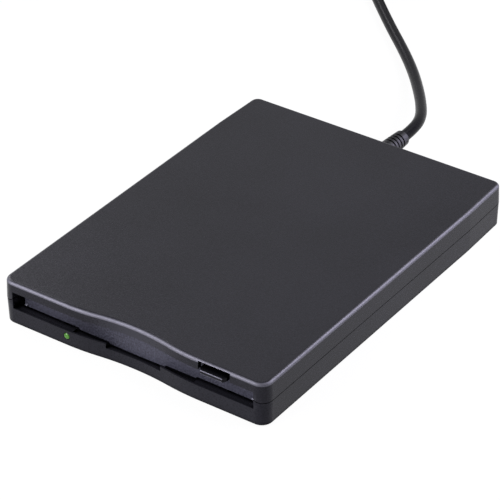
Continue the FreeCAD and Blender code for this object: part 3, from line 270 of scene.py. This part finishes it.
# what all the metals share: lines many times longer than wide, with a shallow scratch depth in metres
metalLook = {"lineLength": 40, "detail": 3.0, "lineRoughness": 0.65, "smoother": 0.08, "rougher": 0.12,
             "bump": 0.25, "relief": 0.00001}


def brushedMetal(name, dark, light, along, lineWidth, roughness):
    # rolled, drawn or ground metal: fine lines stretched along one axis
    look = metalLook
    material, tree, shader, place = newMaterial(name, {
        "Base Color": linearColour(light), "Metallic": 1.0})
    stretch = [1 / lineWidth] * 3
    stretch["xyz".index(along)] /= look["lineLength"]
    lines = addNode(tree, "ShaderNodeMapping", {"Scale": stretch}, {"Vector": place})
    noise = addNode(tree, "ShaderNodeTexNoise", {
        "Scale": 1.0, "Detail": look["detail"], "Roughness": look["lineRoughness"]},
        {"Vector": lines.outputs[0]})
    colour = addNode(tree, "ShaderNodeMix", {
        "data_type": "RGBA", 6: linearColour(dark), 7: linearColour(light)},
        {0: noise.outputs["Fac"]})
    tree.links.new(colour.outputs[2], shader.inputs["Base Color"])
    gloss = addNode(tree, "ShaderNodeMapRange", {
        "To Min": roughness - look["smoother"], "To Max": roughness + look["rougher"]},
        {"Value": noise.outputs["Fac"]})
    tree.links.new(gloss.outputs[0], shader.inputs["Roughness"])
    bump = addNode(tree, "ShaderNodeBump", {"Strength": look["bump"], "Distance": look["relief"]},
                   {"Height": noise.outputs["Fac"]})
    tree.links.new(bump.outputs[0], shader.inputs["Normal"])
    return material


# grain and relief are in metres; each grain is drawn about four times as coarse as the real tool's
# texture, so that it shows
coolSheen = "#efecff"  # carbon-black plastics reflect a little blue
# spark-eroded ABS lid: dark charcoal, faintly speckled, glossier along the rounded edges, where a paler
# painted highlight is laid
sparkErodedAbs = mottledPlastic(
    "sparkErodedAbs", "#0f0f12", "#18181c", grain=0.0005, relief=0.00002, roughness=0.25,
    specular=0.14, sheen=coolSheen, paintedEdgeHighlight="#34343a")
# the tray is a little duller than the lid, with a fainter painted edge highlight; this duller copy of the
# lid's finish is painted shade for the lower half
trayShadedAbs = mottledPlastic(
    "sparkErodedAbsShadedCopy", "#101013", "#19191e", grain=0.0005, relief=0.00002, roughness=0.28,
    specular=0.1, sheen=coolSheen, paintedEdgeHighlight="#1c1c21")
# flap's ABS from a coarser tool: a pale, clearly visible speckle over near black
coarseAbs = mottledPlastic(
    "coarseAbs", "#0c0c10", "#3c3c46", grain=0.0006, relief=0.00006, roughness=0.4,
    specular=0.14, sheen=coolSheen)
# eject key's fine ABS: smoother and blacker than the lid, with pale edges that are a painted highlight
fineAbs = mottledPlastic(
    "fineAbs", "#09090b", "#101013", grain=0.0004, relief=0.00002, roughness=0.25,
    specular=0.1, sheen=coolSheen, paintedEdgeHighlight="#3a3a42")
# soft moulded PVC of the sleeve, the plug grip and the tie: blacker than the shell, a little glossier, with
# a faint painted highlight on the rounded edges
mouldedPvc = mottledPlastic(
    "mouldedPvc", "#060608", "#0e0e11", grain=0.0006, relief=0.00002, roughness=0.26,
    specular=0.12, sheen=coolSheen, paintedEdgeHighlight="#121216")
# extruded PVC of the cord: an even black skin with a long soft shine
extrudedPvc = mottledPlastic(
    "extrudedPvc", "#050507", "#0c0c0f", grain=0.0012, relief=0.00002, roughness=0.28,
    specular=0.06, sheen=coolSheen)
# glossy ABS of the flap's stop pads: the pale grey is a painted glint, and the gloss adds small real
# highlights
paleGlintPadAbs = mottledPlastic(
    "paleGlintPadAbs", "#3a3a41", "#5b5b64", grain=0.0004, relief=0.000005, roughness=0.18,
    specular=0.5, sheen=coolSheen)
# moulded rubber feet: flat black with a dry, dusty grain
mouldedRubber = mottledPlastic(
    "mouldedRubber", "#0e0e0f", "#161617", grain=0.0005, relief=0.00005, roughness=0.7)
# moulded epoxy packages: charcoal, dull and finely pitted
mouldedEpoxy = mottledPlastic(
    "mouldedEpoxy", "#101012", "#1a1a1c", grain=0.0004, relief=0.00003, roughness=0.55)
# glass-filled nylon: dark grey, cloudy where the fibres reach the skin
glassNylon = mottledPlastic(
    "glassFilledNylon", "#1c1c1e", "#2b2b2d", grain=0.0007, relief=0.00003, roughness=0.5)
# moulded white nylon: clean off-white with a waxy shine
whiteNylon = mottledPlastic(
    "whiteNylon", "#d8d8d4", "#e8e8e4", grain=0.0008, relief=0.00001, roughness=0.4)
# laminated film of the flat cable: pale grey, smooth and slightly shiny
ribbonFilm = mottledPlastic(
    "laminatedFilm", "#b9bab6", "#d2d2ce", grain=0.0010, relief=0.00002, roughness=0.4)
# screen-printed solder mask over glass fibre: deep green and glossy
solderMask = mottledPlastic(
    "solderMask", "#10452a", "#1b6040", grain=0.0012, relief=0.00002, roughness=0.3)
# lapped ceramic of the heads: warm white, nearly mirror smooth
ceramic = mottledPlastic(
    "polishedCeramic", "#cfcdc6", "#e2e0da", grain=0.0010, relief=0.000005, roughness=0.15)

# the lines are drawn a few tenths of a millimetre wide, coarser than real rolling marks, so that they show
# zinc-plated sheet: cool bright grey with lines from front to rear
platedSheet = brushedMetal("zincPlatedSheet", "#9a9da0", "#c4c6c8", "y", lineWidth=0.0004, roughness=0.32)
# plain rolled steel sheet: a shade warmer, its lines across the drive
rolledSheet = brushedMetal("rolledSteelSheet", "#a2a3a5", "#cbcccd", "x", lineWidth=0.0004, roughness=0.3)
# ground steel of rods and pins: bright, with narrow reflections
groundSteel = brushedMetal("groundSteel", "#b0b1b3", "#d8d8da", "y", lineWidth=0.0002, roughness=0.16)
# drawn spring steel: a darker, oily grey
springSteel = brushedMetal("drawnSpringSteel", "#85878a", "#aeb0b2", "x", lineWidth=0.0002, roughness=0.3)
# punched laminations of the stator: dull dark grey
laminatedSteel = brushedMetal("laminatedSteel", "#55565a", "#7c7d80", "z", lineWidth=0.0002, roughness=0.4)
# black zinc on the screws: smoky black with a metallic glint
blackZinc = brushedMetal("blackZincSteel", "#303134", "#505155", "z", lineWidth=0.0003, roughness=0.35)
# enamelled copper wire: glossy orange brown
enamelledCopper = brushedMetal("enamelledCopper", "#8a4526", "#c07044", "y", lineWidth=0.0003, roughness=0.3)
# sintered bronze bushes: matt yellow brown
sinteredBronze = brushedMetal("sinteredBronze", "#8f7238", "#b8985a", "z", lineWidth=0.0004, roughness=0.42)
# gold flash on the contacts: warm yellow glints
goldPlate = brushedMetal("goldFlashedContact", "#b58a3a", "#dcb867", "y", lineWidth=0.0003, roughness=0.22)
# tinned wire of the lamp's legs: soft silver grey
tinnedWire = brushedMetal("tinnedWire", "#a9aaa8", "#cfd0ce", "y", lineWidth=0.0002, roughness=0.3)
# bright nickel plate of the plug's shell: a clear, slightly warm mirror
nickelPlate = brushedMetal("nickelPlatedSheet", "#b9babc", "#dedfe0", "y", lineWidth=0.0003, roughness=0.2)


lensLook = {"skin": "#2a5a0e", "deep": "#225006", "heart": "#3a6a18", "cloud": 0.0008, "cloudDetail": 1.0,
            "ior": 1.54, "roughness": 0.2, "specular": 0.4}


def makeGreenEpoxy():
    # cast diffused epoxy: saturated green, cloudy inside, under a glossy skin
    look = lensLook
    material, tree, shader, place = newMaterial("greenDiffusedEpoxy", {
        "Base Color": linearColour(look["skin"]), "IOR": look["ior"], "Roughness": look["roughness"],
        "Specular IOR Level": look["specular"]})
    noise = addNode(tree, "ShaderNodeTexNoise", {
        "Scale": 1 / look["cloud"], "Detail": look["cloudDetail"]}, {"Vector": place})
    colour = addNode(tree, "ShaderNodeMix", {
        "data_type": "RGBA", 6: linearColour(look["deep"]), 7: linearColour(look["heart"])},
        {0: noise.outputs["Fac"]})
    tree.links.new(colour.outputs[2], shader.inputs["Base Color"])
    return material


nodeFinishes = {
    "bottom_case": trayShadedAbs, "top_case": sparkErodedAbs,
    "foot_front_left": mouldedRubber, "foot_front_right": mouldedRubber,
    "foot_rear_left": mouldedRubber, "foot_rear_right": mouldedRubber,
    "drive_screws": blackZinc,
    "disk_flap": coarseAbs, "eject_button": fineAbs,
    "drive_chassis": platedSheet, "drive_cover": platedSheet, "rod_clips": platedSheet,
    "disk_carrier": rolledSheet, "eject_slider": rolledSheet, "shutter_lever": rolledSheet,
    "lever_post": groundSteel, "head_arm": rolledSheet, "motor_board": solderMask,
    "main_board": solderMask, "usb_board": solderMask, "spindle_bearing": sinteredBronze,
    "screw_bearing": sinteredBronze, "stator_core": laminatedSteel, "stator_coils": enamelledCopper,
    "spindle_rotor": rolledSheet, "spindle_shaft": groundSteel, "drive_pin": groundSteel,
    "guide_rod": groundSteel, "head_carriage": glassNylon,
    "lower_head": ceramic, "upper_head": ceramic, "stepper_motor": platedSheet,
    "crystal": nickelPlate, "controller_chips": mouldedEpoxy, "usb_chip": mouldedEpoxy,
    "disk_switches": mouldedEpoxy, "cord_socket": whiteNylon, "ribbon_cable": ribbonFilm,
    "strain_relief": mouldedPvc, "usb_plug_shell": nickelPlate,
    "usb_plug_tongue": whiteNylon,
}


def finishNode(name, material):
    data = nodes[name].data
    data.materials.clear()
    data.materials.append(material)


for nodeName, finish in nodeFinishes.items():
    finishNode(nodeName, finish)
dataCord.data.materials.append(extrudedPvc)
print("finishes set on", len(nodeFinishes), "parts")

quarterTurn = math.radians(90)
smoothingAngle = math.radians(35)  # sharper edges than this stay crisp
flatness = 0.99  # how closely a face looks along an axis to be picked by it


def looking(axis, sense):
    # faces that look along one axis: sense 1 or -1, or 0 for both ways
    def wanted(face):
        along = face.normal["xyz".index(axis)]
        return abs(along) > flatness if sense == 0 else sense * along > flatness
    return wanted


def everyFace(face):
    return True


def deselectAll():
    bpy.ops.object.select_all(action="DESELECT")


def bakePlace():
    # the place goes into the mesh, and the object back to the origin
    bpy.ops.object.transform_apply(location=True, rotation=True, scale=True)


def pickFaces(piece, wanted):
    # ends in edit mode with only the wanted faces selected
    bpy.ops.object.mode_set(mode="EDIT")
    bpy.ops.mesh.select_mode(type="FACE")
    bpy.ops.mesh.select_all(action="DESELECT")
    bpy.ops.object.mode_set(mode="OBJECT")
    for face in piece.data.polygons:
        face.select = wanted(face)
    bpy.ops.object.mode_set(mode="EDIT")


def extrudeBy(move):
    bpy.ops.mesh.extrude_region_move(TRANSFORM_OT_translate={"value": move})


def addBlock(low, high):
    deselectAll()
    middle = [(a + b) / 2 for a, b in zip(low, high)]
    bpy.ops.mesh.primitive_cube_add(size=1, location=middle, scale=[b - a for a, b in zip(low, high)])
    bakePlace()
    return bpy.context.object


def addRod(centre, radius, length, turn, sides=32):
    deselectAll()
    bpy.ops.mesh.primitive_cylinder_add(vertices=sides, radius=radius, depth=length, location=centre,
                                        rotation=turn)
    bakePlace()
    return bpy.context.object


def roundEdges(piece, wanted, width, steps):
    pickFaces(piece, wanted)
    bpy.ops.mesh.bevel(offset=width, segments=steps, affect="EDGES")
    bpy.ops.object.mode_set(mode="OBJECT")


def copyPiece(piece, shift):
    # a copy with its own mesh, moved in its mesh
    deselectAll()
    piece.select_set(True)
    bpy.context.view_layer.objects.active = piece
    bpy.ops.object.duplicate(linked=False)
    bpy.ops.transform.translate(value=shift)
    bakePlace()
    return bpy.context.object


def dressPiece(piece, name, material, body, replaced=None):
    piece.name = name
    piece.data.name = name
    piece.data.materials.clear()
    piece.data.materials.append(material)
    deselectAll()
    piece.select_set(True)
    bpy.context.view_layer.objects.active = piece
    bpy.ops.object.shade_smooth_by_angle(angle=smoothingAngle)
    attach(piece, body)
    if replaced:
        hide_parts(replaced)
    return piece


# plug grip: rounded block, finger ribs on both sides, a dished top and a neck over the cord;
# the neck's end is given as shares of the grip's width and height
plugGrip = {"low": (-0.0983, 0.2545, 0.0), "high": (-0.0827, 0.2815, 0.008), "round": 0.0014,
            "neckInset": 0.0012, "neckLength": 0.0022, "neckWidth": 0.62, "neckHeight": 0.88,
            "ribs": 6, "ribStart": 0.2625, "ribPitch": 0.0022, "groove": 0.0011, "grooveDepth": 0.0004,
            "dishInset": 0.0022, "dishDepth": 0.0003}


def makePlugGrip():
    plan = plugGrip
    grip = addBlock(plan["low"], plan["high"])
    roundEdges(grip, everyFace, plan["round"], steps=4)
    pickFaces(grip, looking("y", -1))
    bpy.ops.mesh.inset(thickness=plan["neckInset"])
    extrudeBy((0, -plan["neckLength"], 0))
    neckMiddle = ((plan["low"][0] + plan["high"][0]) / 2, plan["low"][1],
                  (plan["low"][2] + plan["high"][2]) / 2)
    bpy.ops.transform.resize(value=(plan["neckWidth"], 1, plan["neckHeight"]), center_override=neckMiddle)
    for index in range(plan["ribs"]):
        for edge in (0, plan["groove"]):
            cutAt = (0, plan["ribStart"] + index * plan["ribPitch"] + edge, 0)
            bpy.ops.mesh.select_all(action="SELECT")
            bpy.ops.mesh.bisect(plane_co=cutAt, plane_no=(0, 1, 0))
    last = plan["ribStart"] + plan["ribs"] * plan["ribPitch"]
    onSide = looking("x", 0)

    def inGroove(face):
        along = face.center.y - plan["ribStart"]
        within = 0 < along and face.center.y < last and along % plan["ribPitch"] < plan["groove"]
        return within and onSide(face)

    pickFaces(grip, inGroove)
    bpy.ops.mesh.extrude_region_shrink_fatten(TRANSFORM_OT_shrink_fatten={"value": -plan["grooveDepth"]})
    pickFaces(grip, looking("z", 1))
    bpy.ops.mesh.inset(thickness=plan["dishInset"])
    bpy.ops.transform.translate(value=(0, 0, -plan["dishDepth"]))
    bpy.ops.object.mode_set(mode="OBJECT")
    return dressPiece(grip, "plugGrip", mouldedPvc, "case", "usb_plug_body")


# contacts on the plug's tongue: gold strips, the outer pair reaching further forward
contactPlan = {"outerX": 0.0035, "innerX": 0.001, "half": 0.0005, "rear": 0.2856, "outerFront": 0.2985,
               "innerFront": 0.2975, "low": 0.0039, "thick": 0.00012, "middle": -0.0905}


def makeContacts():
    plan = contactPlan
    strips = []
    for side in (-1, 1):
        for reach, front in ((plan["outerX"], plan["outerFront"]), (plan["innerX"], plan["innerFront"])):
            centre = plan["middle"] + side * reach
            strip = addBlock((centre - plan["half"], plan["rear"], plan["low"]),
                             (centre + plan["half"], front, plan["low"] + plan["thick"]))
            roundEdges(strip, looking("z", 1), plan["thick"] / 2, steps=2)
            strips.append(dressPiece(strip, f"tongueContact{len(strips) + 1}", goldPlate, "case"))
    return strips


# tie round the three strands at the coil's far side, cut flat where it lies on the desk
tiePlan = {"x": -0.0745, "half": 0.0016, "slack": 0.0022, "thick": 0.0005, "sides": 24, "foot": 0.00005,
           "strands": [(0.2416, 0.0022), (0.2374, 0.0022), (0.2374, 0.0064)]}


def makeTie():
    plan = tiePlan
    parts = [addRod((plan["x"], y, z), plan["slack"], 2 * plan["half"], (0, quarterTurn, 0), plan["sides"])
             for y, z in plan["strands"]]
    for part in parts:
        part.select_set(True)
    bpy.context.view_layer.objects.active = parts[0]
    bpy.ops.object.join()
    tie = bpy.context.object
    bpy.ops.object.mode_set(mode="EDIT")
    bpy.ops.mesh.select_all(action="SELECT")
    bpy.ops.mesh.convex_hull()
    pickFaces(tie, looking("x", 0))
    bpy.ops.mesh.delete(type="FACE")
    bpy.ops.object.mode_set(mode="OBJECT")
    wall = tie.modifiers.new("wall", "SOLIDIFY")
    wall.thickness = plan["thick"]
    wall.offset = 1
    bpy.ops.object.modifier_apply(modifier="wall")
    bpy.ops.object.mode_set(mode="EDIT")
    bpy.ops.mesh.select_all(action="SELECT")
    bpy.ops.mesh.bisect(plane_co=(0, 0, plan["foot"]), plane_no=(0, 0, 1), clear_inner=True,
                        use_fill=True)
    bpy.ops.object.mode_set(mode="OBJECT")
    return dressPiece(tie, "coilTie", mouldedPvc, "case")


grip = makePlugGrip()
contacts = makeContacts()
tie = makeTie()
print("plug and tie made")

# indicator: domed lens in a black holder on two tinned legs
indicatorPlan = {"x": -0.02565, "z": 0.00447, "radius": 0.0011, "front": -0.071, "seat": -0.0691,
                 "dome": 0.00045, "reach": 0.00155, "holderRear": -0.0685, "holderTop": 0.00515,
                 "holderRound": 0.00015, "bossInset": 0.0004, "bossLength": 0.0005,
                 "legReach": 0.00055, "legHalf": 0.0002, "legRear": -0.0654, "legLow": 0.00435}


def makeIndicator():
    plan = indicatorPlan
    lens = addRod((plan["x"], (plan["front"] + plan["seat"]) / 2, plan["z"]), plan["radius"],
                  plan["seat"] - plan["front"], (quarterTurn, 0, 0))
    roundEdges(lens, looking("y", -1), plan["dome"], steps=5)
    dressPiece(lens, "lampLens", makeGreenEpoxy(), "case", "activity_led")
    holder = addBlock((plan["x"] - plan["reach"], plan["seat"], plan["z"] - plan["reach"]),
                      (plan["x"] + plan["reach"], plan["holderRear"], plan["holderTop"]))
    roundEdges(holder, everyFace, plan["holderRound"], steps=2)
    pickFaces(holder, looking("y", 1))
    bpy.ops.mesh.inset(thickness=plan["bossInset"])
    extrudeBy((0, plan["bossLength"], 0))
    bpy.ops.object.mode_set(mode="OBJECT")
    dressPiece(holder, "lampHolder", glassNylon, "case")
    legX = plan["x"] - plan["legReach"]
    leg = addBlock((legX - plan["legHalf"], plan["holderRear"], plan["legLow"]),
                   (legX + plan["legHalf"], plan["legRear"], plan["legLow"] + 2 * plan["legHalf"]))
    roundEdges(leg, looking("y", 1), plan["legHalf"] / 2, steps=2)
    other = copyPiece(leg, (2 * plan["legReach"], 0, 0))
    dressPiece(leg, "lampLegLeft", tinnedWire, "case")
    dressPiece(other, "lampLegRight", tinnedWire, "case")


# flap: a glossy stop pad at each lower corner, where the door meets the cheeks; their pale grey is a painted
# glint
padPlan = {"x": 0.0449, "half": 0.0006, "front": -0.06755, "rear": -0.0671, "low": 0.00672,
           "high": 0.0074, "round": 0.0003}


def makeStopPads():
    plan = padPlan
    left = addBlock((-plan["x"] - plan["half"], plan["front"], plan["low"]),
                    (-plan["x"] + plan["half"], plan["rear"], plan["high"]))
    roundEdges(left, looking("y", -1), plan["round"], steps=3)
    right = copyPiece(left, (2 * plan["x"], 0, 0))
    dressPiece(left, "stopPadLeft", paleGlintPadAbs, "flap")
    dressPiece(right, "stopPadRight", paleGlintPadAbs, "flap")


# case screws from below: rounded heads with a cross recess, a plain shank with a blunt point;
# the tip is a share of the shank's width, and the cutter starts clear below the head
screwPlan = {"x": 0.043, "y": 0.0632, "low": 0.0029, "seat": 0.0038, "headRadius": 0.0019,
             "shankRadius": 0.001, "length": 0.008, "point": 0.0006, "tip": 0.5, "round": 0.0004,
             "crossHalf": 0.00105, "crossWidth": 0.00055, "crossDepth": 0.00065, "cutterStart": 0.001}


def makeScrews():
    plan = screwPlan
    screw = addRod((plan["x"], plan["y"], (plan["low"] + plan["seat"]) / 2), plan["headRadius"],
                   plan["seat"] - plan["low"], (0, 0, 0))
    roundEdges(screw, looking("z", -1), plan["round"], steps=4)
    pickFaces(screw, looking("z", 1))
    bpy.ops.mesh.inset(thickness=plan["headRadius"] - plan["shankRadius"])
    extrudeBy((0, 0, plan["length"] - plan["point"]))
    extrudeBy((0, 0, plan["point"]))
    bpy.ops.transform.resize(value=(plan["tip"], plan["tip"], 1), center_override=(
        plan["x"], plan["y"], plan["seat"] + plan["length"]))
    bpy.ops.object.mode_set(mode="OBJECT")
    armLength, armWidth = plan["crossHalf"], plan["crossWidth"] / 2
    for across, along in ((armLength, armWidth), (armWidth, armLength)):
        cutter = addBlock((plan["x"] - across, plan["y"] - along, plan["low"] - plan["cutterStart"]),
                          (plan["x"] + across, plan["y"] + along, plan["low"] + plan["crossDepth"]))
        deselectAll()
        bpy.context.view_layer.objects.active = screw
        cut = screw.modifiers.new("cut", "BOOLEAN")
        cut.operation = "DIFFERENCE"
        cut.object = cutter
        bpy.ops.object.modifier_apply(modifier="cut")
        bpy.data.objects.remove(cutter)
    other = copyPiece(screw, (-2 * plan["x"], 0, 0))
    dressPiece(screw, "caseScrewRight", blackZinc, "case", "case_screws")
    dressPiece(other, "caseScrewLeft", blackZinc, "case", "case_screws")


def wind(piece, axis, plan):
    # sweeps the piece's outline into a helix about its own origin, then closes the ends
    coil = piece.modifiers.new("coil", "SCREW")
    coil.axis = axis
    coil.screw_offset = plan["lead"]
    coil.iterations = plan["turns"]
    coil.steps = plan["stepsPerTurn"]
    coil.render_steps = plan["stepsPerTurn"]
    bpy.ops.object.modifier_apply(modifier="coil")
    bpy.ops.object.mode_set(mode="EDIT")
    bpy.ops.mesh.select_all(action="SELECT")
    bpy.ops.mesh.fill_holes(sides=0)
    bpy.ops.mesh.select_all(action="SELECT")
    bpy.ops.mesh.normals_make_consistent(inside=False)
    bpy.ops.object.mode_set(mode="OBJECT")
    bakePlace()


# lead screw: a core with one sloping thread, three millimetres a turn, its root sunk in the core
leadPlan = {"x": 0.018, "z": 0.0096, "from": 0.0299, "to": 0.0512, "core": 0.0012, "endRound": 0.0002,
            "start": 0.0311, "lead": 0.003, "turns": 6, "stepsPerTurn": 24,
            "crest": 0.0015, "crestHalf": 0.0004, "rootHalf": 0.0008, "sunk": 0.0001}


def makeLeadScrew():
    plan = leadPlan
    deselectAll()
    bpy.ops.mesh.primitive_plane_add(size=1, location=(plan["x"], plan["start"], plan["z"]))
    thread = bpy.context.object
    root = plan["core"] - plan["sunk"]
    outline = [(root, -plan["rootHalf"]), (plan["crest"], -plan["crestHalf"]),
               (root, plan["rootHalf"]), (plan["crest"], plan["crestHalf"])]
    for corner, (out, along) in zip(thread.data.vertices, outline):
        corner.co = (out, along, 0)
    bpy.ops.object.mode_set(mode="EDIT")
    bpy.ops.mesh.select_all(action="SELECT")
    bpy.ops.mesh.delete(type="ONLY_FACE")
    bpy.ops.object.mode_set(mode="OBJECT")
    wind(thread, "Y", plan)
    core = addRod((plan["x"], (plan["from"] + plan["to"]) / 2, plan["z"]), plan["core"],
                  plan["to"] - plan["from"], (quarterTurn, 0, 0))
    roundEdges(core, looking("y", 0), plan["endRound"], steps=2)
    thread.select_set(True)
    core.select_set(True)
    bpy.context.view_layer.objects.active = core
    bpy.ops.object.join()
    dressPiece(bpy.context.object, "threadedScrew", groundSteel, "screw", "lead_screw")


# flap's spring: two turns of fine wire round the left trunnion, wound outwards
springPlan = {"start": -0.04681, "y": -0.0664, "z": 0.0128, "reach": 0.000626, "wire": 0.000075,
              "sides": 10, "lead": -0.00019, "turns": 2, "stepsPerTurn": 24}


def makeFlapSpring():
    plan = springPlan
    deselectAll()
    bpy.ops.mesh.primitive_circle_add(vertices=plan["sides"], radius=plan["wire"], location=(0, 0, 0))
    spring = bpy.context.object
    bpy.ops.object.mode_set(mode="EDIT")
    bpy.ops.mesh.select_all(action="SELECT")
    bpy.ops.transform.translate(value=(0, plan["reach"], 0))
    bpy.ops.object.mode_set(mode="OBJECT")
    spring.location = (plan["start"], plan["y"], plan["z"])
    wind(spring, "X", plan)
    dressPiece(spring, "coiledFlapSpring", springSteel, "case", "flap_spring")


makeIndicator()
makeStopPads()
makeScrews()
makeLeadScrew()
makeFlapSpring()
print("small pieces made")

# glow and sky are strengths where 1 is white; sky lights matt surfaces, and the far wall is what the
# camera and glossy surfaces see beyond the floor
studio = {"floorSize": 6.0, "floorColour": "#e9e9e9", "floorRoughness": 0.9, "floorGlow": 0.93,
          "skyLevel": 0.2, "farWall": 0.8}
# each lamp: azimuth from the front (towards the right), elevation, distance, its two sides, power and tint
lamps = {
    "leftFrontBox": (-33, 22, 0.5, (0.25, 0.25), 2.7, "#faf9ff"),
    "frontBox": (-20, 30, 0.7, (0.4, 0.3), 3.7, "#faf9ff"),
    "leftRearBox": (-115, 35, 1.3, (0.5, 0.5), 5.6, "#ffffff"),
    "leftRearFill": (-140, 38, 1.2, (0.4, 0.4), 0.14, "#ffffff"),
    "rearBox": (175, 45, 1.2, (0.5, 0.4), 1.6, "#ffffff"),
    "rightRearBox": (128, 30, 0.35, (0.16, 0.16), 1.5, "#f4f1ff"),
    "rightBox": (110, 50, 0.8, (0.4, 0.4), 3.1, "#f4f1ff"),
}


def seenDirectly(tree):
    # one for camera, mirror and glass rays, nought for the light that reaches matt surfaces
    rays = addNode(tree, "ShaderNodeLightPath")
    first = addNode(tree, "ShaderNodeMath", {"operation": "MAXIMUM"},
                    {0: rays.outputs["Is Camera Ray"], 1: rays.outputs["Is Transmission Ray"]})
    second = addNode(tree, "ShaderNodeMath", {"operation": "MAXIMUM"},
                     {0: first.outputs[0], 1: rays.outputs["Is Glossy Ray"]})
    return second.outputs[0]


def makeFloor():
    deselectAll()
    bpy.ops.mesh.primitive_plane_add(size=studio["floorSize"], location=(0, 0, 0))
    floor = bpy.context.object
    floor.name = "studioFloor"
    # seamless studio paper: an even white that still takes the object's shadow
    material, tree, shader, _ = newMaterial("paperFloor", {
        "Base Color": linearColour(studio["floorColour"]), "Roughness": studio["floorRoughness"],
        "Specular IOR Level": 0.0})
    glow = addNode(tree, "ShaderNodeEmission", {"Color": (1, 1, 1, 1), "Strength": 1.0})
    share = addNode(tree, "ShaderNodeMath", {"operation": "MULTIPLY", 1: studio["floorGlow"]},
                    {0: seenDirectly(tree)})
    both = addNode(tree, "ShaderNodeMixShader", {},
                   {0: share.outputs[0], 1: shader.outputs[0], 2: glow.outputs[0]})
    output = next(node for node in tree.nodes if node.type == "OUTPUT_MATERIAL")
    tree.links.new(both.outputs[0], output.inputs["Surface"])
    floor.data.materials.append(material)


def makeSky():
    world = bpy.data.worlds.new("softBox")
    bpy.context.scene.world = world
    world.use_nodes = True
    tree = world.node_tree
    tree.nodes.clear()
    level = addNode(tree, "ShaderNodeMapRange", {"To Min": studio["skyLevel"], "To Max": studio["farWall"]},
                    {"Value": seenDirectly(tree)})
    sky = addNode(tree, "ShaderNodeBackground", {"Color": (1, 1, 1, 1)}, {"Strength": level.outputs[0]})
    output = addNode(tree, "ShaderNodeOutputWorld")
    tree.links.new(sky.outputs[0], output.inputs["Surface"])


def makeLamp(name, azimuth, elevation, distance, sides, power, tint):
    data = bpy.data.lights.new(name, "AREA")
    data.shape = "RECTANGLE"
    data.size, data.size_y = sides
    data.energy = power
    data.color = linearColour(tint)[:3]
    lamp = bpy.data.objects.new(name, data)
    bpy.context.scene.collection.objects.link(lamp)
    lamp.visible_camera = False
    level = math.cos(math.radians(elevation))
    outwards = Vector((level * math.sin(math.radians(azimuth)), -level * math.cos(math.radians(azimuth)),
                       math.sin(math.radians(elevation))))
    lamp.location = outwards * distance
    lamp.rotation_euler = (-outwards).to_track_quat("-Z", "Y").to_euler()


makeFloor()
makeSky()
for lampName, lampSettings in lamps.items():
    makeLamp(lampName, *lampSettings)
bpy.context.scene.view_settings.view_transform = "Standard"
print("studio lit")

bpy.context.view_layer.update()
